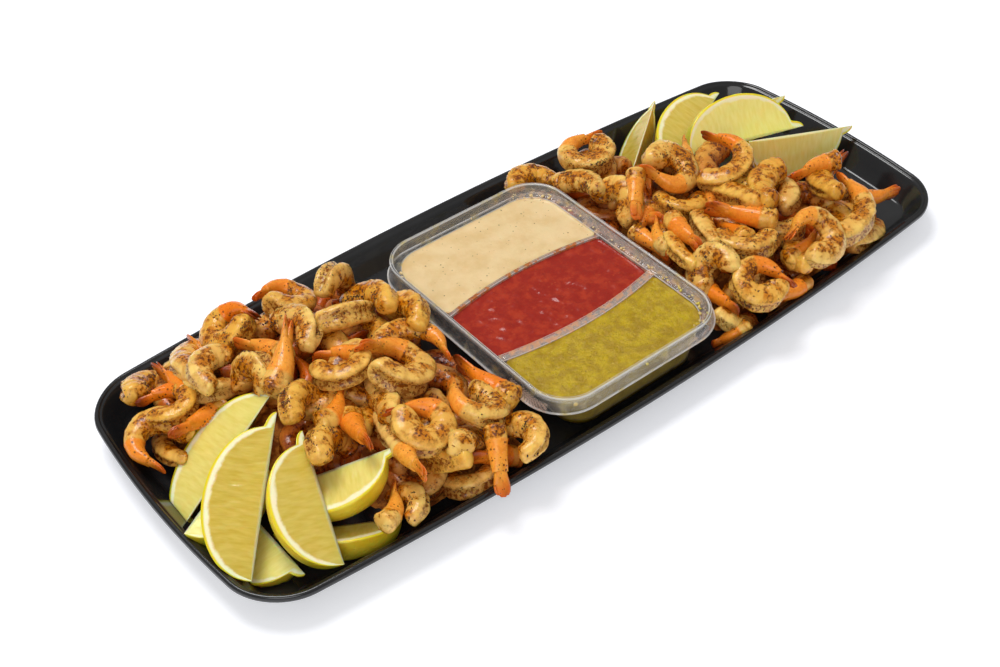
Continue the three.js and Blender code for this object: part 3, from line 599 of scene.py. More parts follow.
class Wedge:
    """A lemon wedge's frame: its ridge, its two cut faces and the radius of its rind."""

    def __init__(self, row):
        x, y, z, turn, pitch, roll, length, radius, nipple_end = row
        turn, pitch = math.radians(turn), math.radians(pitch)
        self.middle = np.array((x, y, z), float)
        self.along = np.array(
            (math.cos(pitch) * math.cos(turn), math.cos(pitch) * math.sin(turn), math.sin(pitch))
        )
        self.left = np.cross((0, 0, 1), self.along)
        self.left /= np.linalg.norm(self.left)
        self.up = np.cross(self.along, self.left)
        self.roll = math.radians(roll)
        self.half = length / 2
        self.radius = radius
        self.nipple_end = nipple_end

    def direction(self, angle):
        """The way out from the ridge at an angle round it."""
        return math.cos(angle) * self.left + math.sin(angle) * self.up

    def reach(self, share):
        """The radius of the rind at a share of the half length, nipple and all."""
        share = np.clip(share * self.nipple_end, -1, 1)
        half_body = 1 - LEMON_NIPPLE_SHARE / 2
        offset = (share + LEMON_NIPPLE_SHARE / 2) / half_body
        body = np.maximum(1 - offset**2, 0) ** 0.45
        nipple = np.sqrt(np.maximum(1 - share**6, 0))
        return np.maximum(np.maximum(self.radius * body, LEMON_NIPPLE * nipple), 0.5)

    def push_out(self, points, centres):
        """Points that would lie in the wedge, moved out on the side where their centre is."""
        offset = points - self.middle
        share = offset @ self.along / self.half
        upper = self.direction(self.roll + math.pi / 2)
        lower = -self.direction(self.roll - math.radians(WEDGE_ANGLE) + math.pi / 2)
        upper_gap, lower_gap = offset @ upper, offset @ lower
        across = offset - np.outer(offset @ self.along, self.along)
        distance = np.linalg.norm(across, axis=1)
        rind_gap = distance - self.reach(share)
        inside = (np.abs(share) < 1.02) & (upper_gap < CLEARANCE) & (lower_gap < CLEARANCE)
        inside &= rind_gap < CLEARANCE
        if not inside.any():
            return points
        own = centres - self.middle
        own_across = own - np.outer(own @ self.along, self.along)
        own_distance = np.linalg.norm(own_across, axis=1)
        own_rind = own_distance - self.reach(own @ self.along / self.half)
        # the upper face is chosen less readily, as few pieces lie on a wedge
        sides = np.column_stack((own @ upper - 4, own @ lower, own_rind))
        chosen = np.argmax(sides, axis=1)
        moved = points.copy()
        outward = across / np.maximum(distance, 0.1)[:, None]
        ways = ((upper_gap, upper), (lower_gap, lower), (rind_gap, outward))
        for side, (gap, way) in enumerate(ways):
            those = inside & (chosen == side)
            way = np.broadcast_to(way, points.shape)
            moved[those] += (CLEARANCE - gap[those])[:, None] * way[those]
        return moved


def build_wedge(index, row, material, others):
    """A wedge with its two wet cut faces, the pith and the pored rind."""
    wedge = Wedge(row)
    stations = np.sin(np.linspace(-math.pi / 2, math.pi / 2, 61))
    turned = math.radians(WEDGE_ANGLE)
    # round the section: out along the lower face, up the rind, back along the upper face
    section = [(-turned, step / FACE_STEPS, 0) for step in range(FACE_STEPS)]
    section += [(turned * (step / RIND_STEPS - 1), 1, 1) for step in range(RIND_STEPS)]
    section += [(0, step / FACE_STEPS, 0) for step in range(FACE_STEPS, 0, -1)]
    spokes = np.array([wedge.direction(wedge.roll + turn) * part for turn, part, _ in section])
    ridge = wedge.middle + np.outer(stations * wedge.half, wedge.along)
    rings = ridge[:, None] + wedge.reach(stations)[:, None, None] * spokes
    cloud = rings.reshape(-1, 3)
    radial = np.tile([part for _, part, _ in section], len(stations))
    rind = np.tile([on_rind for _, _, on_rind in section], len(stations))
    along = np.repeat(stations * wedge.nipple_end, len(section))
    cloud = shape_wedge(wedge, cloud, radial, rind, 10.0 * index)
    for other in others:
        cloud = other.push_out(cloud, np.tile(wedge_heart(wedge), (len(cloud), 1)))
    cloud = keep_in_tray(cloud)
    marks = {
        "radial": radial,
        "along": along,
        "rind": rind,
        "depth_in": (1 - radial) * np.repeat(wedge.reach(stations), len(section)),
        "span": along * wedge.half,
        "paleness_and_painted_light": np.full(len(cloud), WEDGE_PALENESS_AND_PAINTED_LIGHT[index - 1]),
    }
    faces, replaced = skin_rings(rings), (f"lemon_wedge_{index}",)
    mesh_piece(f"lemon_{index}", material, cloud, faces, marks, replaced)
    return wedge


def wedge_heart(wedge):
    """A place deep inside a wedge, between its two faces."""
    middle_angle = wedge.roll - math.radians(WEDGE_ANGLE / 2)
    return wedge.middle + wedge.direction(middle_angle) * wedge.radius * 0.6


THICK_SHARE = 0.7  # how much of a wedge's length is nearly as thick as its middle


def wedge_distance(wedge, x, y):
    """How far a place is from the thick middle of a wedge, seen from above."""
    offset = np.array((x, y)) - wedge_heart(wedge)[:2]
    along = wedge.along[:2]
    reach = THICK_SHARE * wedge.half
    return np.linalg.norm(offset - along * np.clip(offset @ along, -reach, reach))


def shape_wedge(wedge, cloud, radial, rind, salt):
    """Lets the flesh sink a little between the ridge and the pith, and dimples the rind."""
    offset = cloud - wedge.middle
    share = offset @ wedge.along / wedge.half
    spread = wedge.reach(share)
    heart = wedge_heart(wedge)
    inward = heart - cloud
    inward /= np.maximum(np.linalg.norm(inward, axis=1), 0.1)[:, None]
    flesh = np.clip((0.8 - radial) / 0.1, 0, 1) * np.clip(radial / 0.15, 0, 1) * (1 - rind)
    fibre = cloud @ wedge.along
    stretched = np.column_stack((fibre * 2.2, radial * 6, np.zeros(len(cloud))))
    sink = flesh * (0.5 + 0.15 * ripple(stretched, 5, salt) + 0.3 * ripple(cloud, 5, salt + 1))
    lumpy = 0.5 * ripple(cloud, 12, salt + 2) * rind
    body = np.clip(spread / 8, 0, 1)
    return cloud + inward * ((sink + lumpy) * body)[:, None]


# ---- shrimps


# How far in from the rim's edge the tray's inner wall is at heights; above the rim there is none.
INNER_HEIGHTS = (TRAY_FLOOR, WALL_FOOT, WALL_TOP, 17.6, 18.2)
INNER_INSETS = (14.4, WALL_FOOT_INSET, RIM_WIDTH + 0.2, 2.6, -30)


def keep_in_tray(points):
    """Points lifted off the tray's floor and held inside its walls."""
    moved = points.copy()
    moved[:, 2] = np.maximum(moved[:, 2], TRAY_FLOOR + GAP)
    along_x = moved[:, 0] / TRAY_HALF_LENGTH
    along_y = moved[:, 1] / TRAY_HALF_WIDTH
    inset = np.interp(moved[:, 2], INNER_HEIGHTS, INNER_INSETS) + CLEARANCE
    limit_x = TRAY_HALF_LENGTH + TRAY_END_BOW * np.maximum(1 - along_y**2, 0) - inset
    limit_y = TRAY_HALF_WIDTH + TRAY_SIDE_BOW * np.maximum(1 - along_x**2, 0) - inset
    moved[:, 0] = np.clip(moved[:, 0], -limit_x, limit_x)
    moved[:, 1] = np.clip(moved[:, 1], -limit_y, limit_y)
    corner = np.maximum(TRAY_CORNER - inset, TRAY_INNER_CORNER)
    past_x = np.abs(moved[:, 0]) - (limit_x - corner)
    past_y = np.abs(moved[:, 1]) - (limit_y - corner)
    distance = np.hypot(np.maximum(past_x, 0), np.maximum(past_y, 0))
    outside = (past_x > 0) & (past_y > 0) & (distance > corner)
    shrink = np.where(outside, corner / np.maximum(distance, 0.1), 1)
    for axis, past, limit in ((0, past_x, limit_x), (1, past_y, limit_y)):
        side = np.sign(moved[:, axis])
        held = side * (limit - corner + past * shrink)
        moved[:, axis] = np.where(outside, held, moved[:, axis])
    return moved


CONTAINER_GAP = 0.5


def keep_off_container(points, centres):
    """Points pushed off the dip container, sideways or up over its rim."""
    moved = points.copy()
    for outline, low, high in ((RIM, LIP_HEIGHT + 1, CONTAINER_TOP), (LIP, 0, LIP_HEIGHT + 1.4)):
        x, y, half_x, half_y, corner = outline
        past_x = np.abs(moved[:, 0] - x) - (half_x + CONTAINER_GAP - corner)
        past_y = np.abs(moved[:, 1] - y) - (half_y + CONTAINER_GAP - corner)
        away = np.hypot(np.maximum(past_x, 0), np.maximum(past_y, 0))
        distance = away + np.minimum(np.maximum(past_x, past_y), 0) - corner
        inside = (distance < 0) & (moved[:, 2] > low - CONTAINER_GAP)
        inside &= moved[:, 2] < high + CONTAINER_GAP
        rises = inside & (centres[:, 2] > CONTAINER_TOP + 1) & (outline is RIM)
        moved[rises, 2] = high + CONTAINER_GAP
        slides = inside & ~rises
        side = np.sign(centres[:, 0] - x)
        moved[slides, 0] -= (side * distance)[slides]
    return moved


def curled_line(curl, length):
    """The middle line of a curled shrimp: shares of its length, x, y and headings there."""
    steps = 100
    shares = (np.arange(steps) + 0.5) / steps
    weight = np.clip(1 - (shares - CURL_END) / CURL_FADE, TAIL_CURL, 1)
    turned = math.radians(curl) * (np.concatenate(((0,), np.cumsum(weight) / weight.sum())) - 1)
    middle = (turned[:-1] + turned[1:]) / 2
    x = np.concatenate(((0,), np.cumsum(np.cos(middle)))) * length / steps
    y = np.concatenate(((0,), np.cumsum(np.sin(middle)))) * length / steps
    return np.linspace(0, 1, steps + 1), x, y, turned


def attitude(row, anchor):
    """The turn and place of a shrimp whose kept part has its middle at the anchor."""
    x, y, z, turn, curl, lean, pitch = row[:7]
    turned = (
        Matrix.Rotation(math.radians(turn), 3, "Z")
        @ Matrix.Rotation(-math.radians(pitch), 3, "Y")
        @ Matrix.Rotation(math.radians(lean) * math.copysign(1, curl), 3, "X")
    )
    turned = np.array(turned)
    return lambda points: (points - anchor) @ turned.T + np.array((x, y, z))


# Half depths to the back and to the belly, and half widths, at shares of the length.
GIRTH_SHARES = (0, 0.02, 0.05, 0.1, 0.2, 0.34, 0.47, 0.57, 0.65, 0.71, 0.78, 0.84)
BACK_DEPTHS = (5.4, 6.0, 6.4, 6.7, 6.8, 6.5, 6.0, 5.5, 5.0, 4.6, 3.6, 2.4)
BELLY_DEPTHS = (5.2, 6.2, 7.0, 7.7, 8.1, 7.8, 7.0, 6.0, 5.1, 4.3, 3.3, 2.0)
HALF_WIDTHS = (5.0, 5.7, 6.1, 6.4, 6.6, 6.3, 5.8, 5.3, 4.9, 4.6, 4.2, 3.8)
SEGMENT_EDGES = (0.09, 0.19, 0.29, 0.39, 0.485, 0.57)
FLESH_END = 0.63
BODY_END = 0.84
LEAST_HOLE = 0.7  # radius that stays open inside a tight curl
END_ROUNDING = 0.035  # share of the length over which a cut end is rounded


def shrimp_body(line, part, size, curl, rnd, rings, sides):
    """The flesh and the last shell segment, lofted along the middle line."""
    low, high = part[0], min(part[1], BODY_END)
    ends = np.sin(np.linspace(-math.pi / 2, math.pi / 2, rings)) * 0.5 + 0.5
    even = np.linspace(0, 1, rings)
    shares = low + (high - low) * (0.3 * ends + 0.7 * even)
    at, line_x, line_y, headings = line
    x, y = np.interp(shares, at, line_x), np.interp(shares, at, line_y)
    heading = np.interp(shares, at, headings)
    back_depth = np.interp(shares, GIRTH_SHARES, BACK_DEPTHS) * size
    belly_depth = np.interp(shares, GIRTH_SHARES, BELLY_DEPTHS) * size
    width = np.interp(shares, GIRTH_SHARES, HALF_WIDTHS) * size
    pace = np.maximum(np.hypot(np.gradient(x), np.gradient(y)), 0.01)
    turning = np.abs(np.gradient(heading)) / pace
    belly_depth = np.minimum(belly_depth, 1 / np.maximum(turning, 0.02) - LEAST_HOLE)
    for cut_off, past in ((True, shares - low), (part[1] < 1, high - shares)):
        if cut_off:
            blunt = np.sqrt(np.clip(1 - (1 - np.clip(past / END_ROUNDING, 0, 1)) ** 2, 0.04, 1))
            back_depth, belly_depth, width = back_depth * blunt, belly_depth * blunt, width * blunt
    back = -math.copysign(1, curl)
    around = np.linspace(0, 2 * math.pi, sides, endpoint=False)
    wrapped = np.abs((around + math.pi) % (2 * math.pi) - math.pi)
    # the slit along the back: how wide it gapes, how deep it is and how far it runs
    opening = rnd.uniform(0.16, 0.42)
    cut_depth = rnd.uniform(1.0, 3.6) * size
    cut_run = np.clip((shares - 0.02) / 0.05, 0, 1) * np.clip((0.57 - shares) / 0.12, 0, 1)
    # each segment is pinched off from the next and overlaps it; a collar starts the shell
    flesh = np.clip((FLESH_END - shares) / 0.012, 0, 1)
    pinch = sum(np.exp(-(((shares - edge) / 0.012) ** 2)) for edge in SEGMENT_EDGES)
    pinch = np.minimum(pinch, 1) * flesh
    collar = np.exp(-(((shares - FLESH_END - 0.012) / 0.01) ** 2))
    cut = np.exp(-((wrapped / opening) ** 2))
    lips = np.exp(-(((wrapped - 1.9 * opening) / opening) ** 2))
    upward, belly = np.clip(np.cos(around), 0, 1), np.clip(-np.cos(around), 0, 1)
    dorsal = back_depth[:, None] * upward[None, :] - belly_depth[:, None] * belly[None, :]
    lateral = width[:, None] * np.sin(around)[None, :]
    squeeze = 1 - pinch[:, None] * (0.02 + 0.06 * belly[None, :]) + 0.05 * collar[:, None]
    segments = np.interp(shares, (0, *SEGMENT_EDGES, FLESH_END), range(len(SEGMENT_EDGES) + 2))
    overlap = 0.055 * (segments % 1 - 0.5) * flesh
    squeeze += overlap[:, None] * (0.35 + 0.65 * upward[None, :])
    dorsal, lateral = dorsal * squeeze, lateral * squeeze
    dorsal -= cut_depth * cut_run[:, None] * cut[None, :]
    dorsal += 0.3 * cut_depth * cut_run[:, None] * lips[None, :]
    lateral *= 1 + 0.14 * cut_run[:, None] * lips[None, :]
    normal_x, normal_y = -np.sin(heading) * back, np.cos(heading) * back
    point_x, point_y = x[:, None] + dorsal * normal_x[:, None], y[:, None] + dorsal * normal_y[:, None]
    points = np.stack((point_x, point_y, lateral), axis=2)
    centres = np.stack((x, y, np.zeros(rings)), axis=1)
    marks = {
        "share": np.repeat(shares, sides),
        "cut": (cut_run[:, None] * np.exp(-((wrapped / (1.7 * opening)) ** 4))[None, :]).ravel(),
        "back": np.tile(np.cos(around), rings),
        "pinch": np.repeat(pinch, sides),
    }
    return points, np.repeat(centres, sides, axis=0), marks


# The tail fan's lobes: angle, height over the middle line, share of the length, half width.
LOBES = (
    (0, 1.0, 0.88, 2.2),
    (6, 0.3, 1.0, 2.9),
    (-6, 0.3, 0.98, 2.9),
    (12, -0.4, 0.93, 2.7),
    (-12, -0.4, 0.95, 2.7),
)
LOBE_SIDES = 8
LOBE_RINGS = 12
FAN_START = 0.76


def tail_lobes(line, size, curl, rnd):
    """The tail fan: a middle lobe over two pairs of flat ones, nearly closed."""
    at, line_x, line_y, headings = line
    base = np.array((np.interp(FAN_START, at, line_x), np.interp(FAN_START, at, line_y), 0.0))
    heading = float(np.interp(0.9, at, headings))
    forward = np.array((math.cos(heading), math.sin(heading), 0.0))
    dorsal = np.array((-math.sin(heading), math.cos(heading), 0.0)) * -math.copysign(1, curl)
    side = np.array((0.0, 0.0, 1.0))
    length = SHRIMP_LENGTH * size * (1 - FAN_START)
    spread = rnd.uniform(0.3, 1.0)
    lobes = []
    for fan, lift, share, wide in LOBES:
        angle = math.radians(fan * spread + rnd.uniform(-1.5, 1.5))
        way = forward * math.cos(angle) + side * math.sin(angle)
        across = -forward * math.sin(angle) + side * math.cos(angle)
        droop = rnd.uniform(-0.06, 0.1)
        reach = length * share * rnd.uniform(0.94, 1.03)
        rings, centres, shares = [], [], []
        for t in np.linspace(0, 1, LOBE_RINGS):
            middle = base + way * reach * t + dorsal * size * (lift * (1 - 0.4 * t))
            middle = middle + dorsal * droop * reach * t * t
            half = wide * size * (0.8 + 0.35 * t - 0.75 * t**10)
            thick = size * (1.8 * (1 - t) + 0.6 - 0.35 * t**8)
            turns = 2 * math.pi * np.arange(LOBE_SIDES) / LOBE_SIDES
            out = np.cos(turns)[:, None]
            rise = (np.sin(turns) * thick * (1 - 0.45 * np.abs(np.cos(turns))))[:, None]
            rings.append(middle + across * half * out + dorsal * rise)
            centres += [middle] * LOBE_SIDES
            shares += [FAN_START + (1 - FAN_START) * t] * LOBE_SIDES
        lobes.append((rings, np.array(centres), np.array(shares)))
    return lobes


# shrimps are painted darker the deeper they lie in a heap, as the shade between them
DEEP_REACH = 13  # depth in a heap at which a shrimp has its darkest colour


class Heap:
    """Gathers the meshes of many shrimps into one piece, with what their material needs."""

    def __init__(self):
        self.points, self.faces, self.count = [], [], 0
        self.marks = {key: [] for key in ("share", "cut", "back", "pinch", "tone")}

    def add(self, points, rings, marks):
        self.points.append(points)
        self.faces += skin_rings(rings, self.count)
        self.count += len(points)
        for key, values in self.marks.items():
            values.append(np.broadcast_to(marks.get(key, 0), (len(points),)))

    def finish(self, name, material, rows, stands_for=()):
        cloud = np.concatenate(self.points)
        marks = {key: np.concatenate(values) for key, values in self.marks.items()}
        # painted shade: how far a point lies under the heap's middles sets how much darker its colour
        # is painted
        marks["deep"] = np.clip((heap_heights(cloud, rows) - cloud[:, 2]) / DEEP_REACH, 0, 1)
        return mesh_piece(name, material, cloud, self.faces, marks, stands_for)


FINE_MESH = (68, 26)  # rings and sides of a shrimp of the upper layer
COARSE_MESH = (40, 16)


def add_shrimp(heap, row, salt, rings, sides):
    """One shrimp of a heap, in its place and pressed against what it lies on."""
    rnd = random.Random(SEED + salt)
    curl, size, part = row[4], row[7], row[8]
    line = curled_line(curl, SHRIMP_LENGTH * size)
    kept = np.linspace(*part, 21)
    middles = [np.interp(kept, line[0], values).mean() for values in line[1:3]]
    place = attitude(row, np.array((*middles, 0)))
    tone_mark = {"tone": rnd.random()}

    def settle(points, centres):
        moved = place(points)
        middle = place(centres)
        for wedge in wedges:
            moved = wedge.push_out(moved, middle)
        return keep_in_tray(keep_off_container(moved, middle))

    loft, centres, marks = shrimp_body(line, part, size, curl, rnd, rings, sides)
    flat = loft.reshape(-1, 3)
    outward = flat - centres
    outward /= np.maximum(np.linalg.norm(outward, axis=1), 0.1)[:, None]
    flesh = np.clip((FLESH_END - marks["share"]) / 0.02, 0, 1)
    rough = 0.7 * ripple(flat, 10, salt) + flesh * (0.35 * ripple(flat, 3.6, salt + 7))
    rough += flesh * marks["cut"] * 0.8 * ripple(flat, 2.1, salt + 3)
    heap.add(settle(flat + outward * rough[:, None], centres), loft, {**tone_mark, **marks})
    if part[1] > BODY_END:
        for lobe, centres, shares in tail_lobes(line, size, curl, rnd):
            marks = {**tone_mark, "share": shares}
            heap.add(settle(np.concatenate(lobe), centres), lobe, marks)


CHIPS = 9000
CHIP_SIDES = 5
CHIP_SIZES = ((0.22, 0.95), (0.18, 0.5), (0.12, 0.28))  # half lengths, half widths, heights


def numbers_of(items, key, width):
    """What a mesh keeps for each of its items, as rows of numbers."""
    values = np.zeros(width * len(items))
    items.foreach_get(key, values)
    return values.reshape(-1, width)


def scatter_chips(name, heaps, seed, material):
    """Seasoning chips pressed onto the shrimps, thicker where they are split and browned."""
    rnd = np.random.default_rng(seed)
    centres, normals, weights = [], [], []
    for heap in heaps:
        mesh = heap.data
        centre = numbers_of(mesh.polygons, "center", 3) / MM
        normal = numbers_of(mesh.polygons, "normal", 3)
        area = numbers_of(mesh.polygons, "area", 1)[:, 0]
        first = [polygon.vertices[0] for polygon in mesh.polygons]
        share, cut, back = (
            numbers_of(mesh.attributes[key].data, "value", 1)[first, 0]
            for key in ("share", "cut", "back")
        )
        clumped = np.clip(ripple(centre, 5, 40.0) + 0.15, 0.03, 1) ** 1.8
        likely = 0.12 + np.clip(0.55 - back, 0, 1) + 1.8 * cut
        likely *= np.where(share > FLESH_END, 0.05, 1) * np.clip(normal[:, 2] + 0.5, 0, 1)
        centres.append(centre)
        normals.append(normal)
        weights.append(area * clumped * likely)
    centre, normal, weight = (np.concatenate(parts) for parts in (centres, normals, weights))
    chosen = rnd.choice(len(weight), CHIPS, p=weight / weight.sum())
    points, faces, kinds = [], [], []
    for index in chosen:
        out = Vector(normal[index])
        level = out.orthogonal().normalized()
        level.rotate(Matrix.Rotation(rnd.uniform(0, 2 * math.pi), 3, out))
        across = out.cross(level)
        wander = level * rnd.normal(0, 0.5) + across * rnd.normal(0, 0.5)
        place = Vector(centre[index]) + wander + out * 0.05
        long, wide, tall = (rnd.uniform(*limits) for limits in CHIP_SIZES)
        start = len(points)
        for side in range(CHIP_SIDES):
            turn = 2 * math.pi * (side + rnd.uniform(-0.3, 0.3)) / CHIP_SIDES
            edge = level * long * math.cos(turn) + across * wide * math.sin(turn)
            points.append(place + edge + out * rnd.uniform(-0.05, 0.08))
        points += [place + out * tall, place - out * 0.2]
        for side in range(CHIP_SIDES):
            low, high = start + side, start + (side + 1) % CHIP_SIDES
            faces += [(low, high, start + CHIP_SIDES), (high, low, start + CHIP_SIDES + 1)]
        kinds += [rnd.random()] * (CHIP_SIDES + 2)
    mesh_piece(name, material, points, faces, {"kind": kinds})


def footprint_depth(x, y, footprint):
    """How far a point lies inside a heap's outline."""
    depths = []
    for (ax, ay), (bx, by) in zip(footprint, footprint[1:] + footprint[:1]):
        cross = (bx - ax) * (y - ay) - (by - ay) * (x - ax)
        depths.append(cross / math.hypot(bx - ax, by - ay))
    return min(depths)


HEAP_SPREAD = 15  # reach of each shrimp's say in the heap's height


def heap_heights(points, rows):
    """The average heights of the shrimps' middles near points."""
    middles = np.array([row[:3] for row in rows], float)
    offsets = points[:, None, :2] - middles[None, :, :2]
    weights = np.exp(-(offsets**2).sum(2) / HEAP_SPREAD**2) + 1e-6
    return weights @ middles[:, 2] / weights.sum(1)


LOWER_SHRIMPS = 34
LOWER_TRIES = 4000
LOWER_MARGIN = 26  # least depth of a lower shrimp's middle inside the heap's outline
LOWER_SPACING = 14.5
LOWER_FROM_WEDGE = 19
LOWER_LEAST_Z = 11
LOWER_DROP = (8, 13)  # how far under the upper layer's middles it lies
LOWER_CURL = (220, 330)
LOWER_LEAN = 22
LOWER_PITCH = 14
LOWER_SIZE = 0.95
LOWER_WHOLE = 0.6  # share of them that have their tails
TWO_LAYERS = 27  # height of the heap from which it has a lower layer


def lower_layer(rows, footprint, seed):
    """Shrimps that lie under the upper ones and close the gaps between them."""
    rnd = random.Random(seed)
    (low_x, low_y), (high_x, high_y) = np.min(footprint, axis=0), np.max(footprint, axis=0)
    placed = [row for row in UNDER_SHRIMPS if footprint_depth(row[0], row[1], footprint) > 0]
    for _ in range(LOWER_TRIES):
        x, y = rnd.uniform(low_x, high_x), rnd.uniform(low_y, high_y)
        if len(placed) == LOWER_SHRIMPS:
            break
        depth = footprint_depth(x, y, footprint)
        height = heap_heights(np.array([(x, y)]), rows)[0]
        if depth < LOWER_MARGIN or height < TWO_LAYERS:
            continue
        if any(math.hypot(x - p[0], y - p[1]) < LOWER_SPACING for p in placed):
            continue
        if any(wedge_distance(wedge, x, y) < LOWER_FROM_WEDGE for wedge in wedges):
            continue
        z = height - rnd.uniform(*LOWER_DROP)
        z = max(min(z, LOWER_LEAST_Z + 0.9 * (depth - LOWER_MARGIN)), LOWER_LEAST_Z)
        curl = rnd.choice((-1, 1)) * rnd.uniform(*LOWER_CURL)
        lean = rnd.uniform(-LOWER_LEAN, LOWER_LEAN)
        pitch = rnd.uniform(-LOWER_PITCH, LOWER_PITCH)
        part = WHOLE if rnd.random() < LOWER_WHOLE else BODY
        placed.append((x, y, z, rnd.uniform(0, 360), curl, lean, pitch, LOWER_SIZE, part))
    return placed


CORE_CELL = 5
CORE_MARGIN = 22  # depth inside the heap's outline at which the core starts
CORE_SLOPE = 16
CORE_DROP = 21  # how far under the upper layer's middles its top lies
CORE_SINK = 1.0  # how far its edge dips into the tray's floor, so that it ends in a smooth line


def build_core(name, rows, footprint, material):
    """The bottom of a heap, darkened with painted shade, seen only through the gaps between its
    shrimps.
    """
    low, high = np.min(footprint, axis=0), np.max(footprint, axis=0)
    columns, lines = (np.ceil((high - low) / CORE_CELL)).astype(int) + 1
    places = [(column, line) for line in range(lines) for column in range(columns)]
    places = low + np.array(places) * CORE_CELL
    depths = np.array([footprint_depth(x, y, footprint) for x, y in places]) - CORE_MARGIN
    rise = np.maximum(heap_heights(places, rows) - CORE_DROP, 0)
    rise *= np.clip(depths / CORE_SLOPE, 0, 1)
    cloud = np.column_stack((places, TRAY_FLOOR + 0.5 + rise))
    lump = np.clip((cloud[:, 2] - TRAY_FLOOR - 0.6) / 4, 0, 1)
    cloud[:, 2] += lump * 2.2 * ripple(cloud, 7, 3.3)
    # pushed down under the wedges, and sideways off the dip container
    centres = cloud.copy()
    for wedge in wedges:
        cloud = wedge.push_out(cloud, centres - np.array((0, 0, 12)))
    cloud = keep_in_tray(keep_off_container(cloud, centres - np.array((0, 0, 50))))
    sunk = TRAY_FLOOR + np.maximum(0.5 + 0.4 * depths, -CORE_SINK)
    cloud[:, 2] = np.where(depths < 0, sunk, cloud[:, 2])
    corners = [line * columns + column for line in range(lines - 1) for column in range(columns - 1)]
    cells = [(i, i + 1, i + columns + 1, i + columns) for i in corners]
    cells = [cell for cell in cells if cloud[list(cell), 2].max() > TRAY_FLOOR]
    used = sorted({i for cell in cells for i in cell})
    index = {old: new for new, old in enumerate(used)}
    top, under = cloud[used], cloud[used]
    under[:, 2] = TRAY_FLOOR - CORE_SINK - 0.2
    upper = [tuple(index[i] for i in cell) for cell in cells]
    bottom = [tuple(i + len(used) for i in reversed(cell)) for cell in upper]
    edges = dict.fromkeys(edge for cell in upper for edge in zip(cell, cell[1:] + cell[:1]))
    border = [(a, b) for a, b in edges if (b, a) not in edges]
    skirt = [(b, a, a + len(used), b + len(used)) for a, b in border]
    mesh_piece(name, material, np.concatenate((top, under)), upper + bottom + skirt)


# ---- materials


def tone(red, green, blue):
    """A colour for the shader from its screen values of 0 to 255."""
    channels = []
    for value in (red, green, blue):
        value /= 255
        channels.append(value / 12.92 if value <= 0.04045 else ((value + 0.055) / 1.055) ** 2.4)
    return (*channels, 1)


class Nodes:
    """Adds nodes to one material or group; a fed value is a number, a colour or a socket."""

    def __init__(self, tree):
        self.tree = tree

    def add(self, kind, feeds=(), **settings):
        node = self.tree.nodes.new("ShaderNode" + kind)
        for key, value in settings.items():
            setattr(node, key, value)
        for key, value in dict(feeds).items():
            self.feed(node.inputs[key], value)
        return node

    def feed(self, socket, value):
        if isinstance(value, bpy.types.NodeSocket):
            self.tree.links.new(value, socket)
        else:
            socket.default_value = value

    def mark(self, name):
        return self.add("Attribute", attribute_name=name).outputs["Fac"]

    def mix(self, factor, low, high, blend="MIX"):
        node = self.add("Mix", data_type="RGBA", blend_type=blend, clamp_factor=True)
        for index, value in ((0, factor), (6, low), (7, high)):
            self.feed(node.inputs[index], value)
        return node.outputs[2]

    def math(self, operation, first, second=0.0):
        node = self.add("Math", operation=operation)
        self.feed(node.inputs[0], first)
        self.feed(node.inputs[1], second)
        return node.outputs[0]

    def plus(self, first, second):
        return self.math("ADD", first, second)

    def times(self, first, second):
        return self.math("MULTIPLY", first, second)

    def tint(self, base, mask, strength, colour):
        """The base with a colour laid over it where the mask is, no stronger than said."""
        return self.mix(self.times(mask, strength), base, colour)

    def step(self, value, low, high, to_low=0.0, to_high=1.0):
        """Goes smoothly from one value to another while the fed value goes from low to high."""
        feeds = {0: value, 1: low, 2: high, 3: to_low, 4: to_high}
        return self.add("MapRange", feeds, interpolation_type="SMOOTHSTEP").outputs[0]

    def use(self, group, **feeds):
        node = self.add("Group", node_tree=group)
        for key, value in feeds.items():
            self.feed(node.inputs[key], value)
        return node.outputs

    def patches(self, size_mm, low=0.4, high=0.6):
        return self.use(MOTTLING, size_mm=size_mm, low=low, high=high)["mask"]

    def grain(self, size_mm, detail=4.0):
        return self.use(MOTTLING, size_mm=size_mm, detail=detail)["height"]

    def bump(self, height, distance, strength=1.0):
        feeds = {"Height": height, "Distance": distance * MM, "Strength": strength}
        return self.add("Bump", feeds).outputs["Normal"]


def new_group(name, inputs, outputs):
    """An empty node group with named number inputs and number outputs."""
    group = bpy.data.node_groups.new(name, "ShaderNodeTree")
    for key, value in inputs.items():
        socket = group.interface.new_socket(key, in_out="INPUT", socket_type="NodeSocketFloat")
        socket.default_value = value
    for key in outputs:
        group.interface.new_socket(key, in_out="OUTPUT", socket_type="NodeSocketFloat")
    nodes = Nodes(group)
    entry = group.nodes.new("NodeGroupInput").outputs
    leave = group.nodes.new("NodeGroupOutput").inputs
    return group, nodes, entry, leave


def build_mottling():
    """Soft uneven patches: a mask between two levels of noise, and the noise itself."""
    inputs = {"size_mm": 8.0, "low": 0.4, "high": 0.6, "detail": 4.0}
    group, nodes, entry, leave = new_group("mottling", inputs, ("mask", "height"))
    place = nodes.add("TexCoord").outputs["Object"]
    scale = nodes.math("DIVIDE", 1000.0, entry["size_mm"])
    feeds = {"Vector": place, "Scale": scale, "Detail": entry["detail"], "Roughness": 0.6}
    patches = nodes.add("TexNoise", feeds).outputs["Fac"]
    nodes.feed(leave["mask"], nodes.step(patches, entry["low"], entry["high"]))
    nodes.feed(leave["height"], patches)
    return group


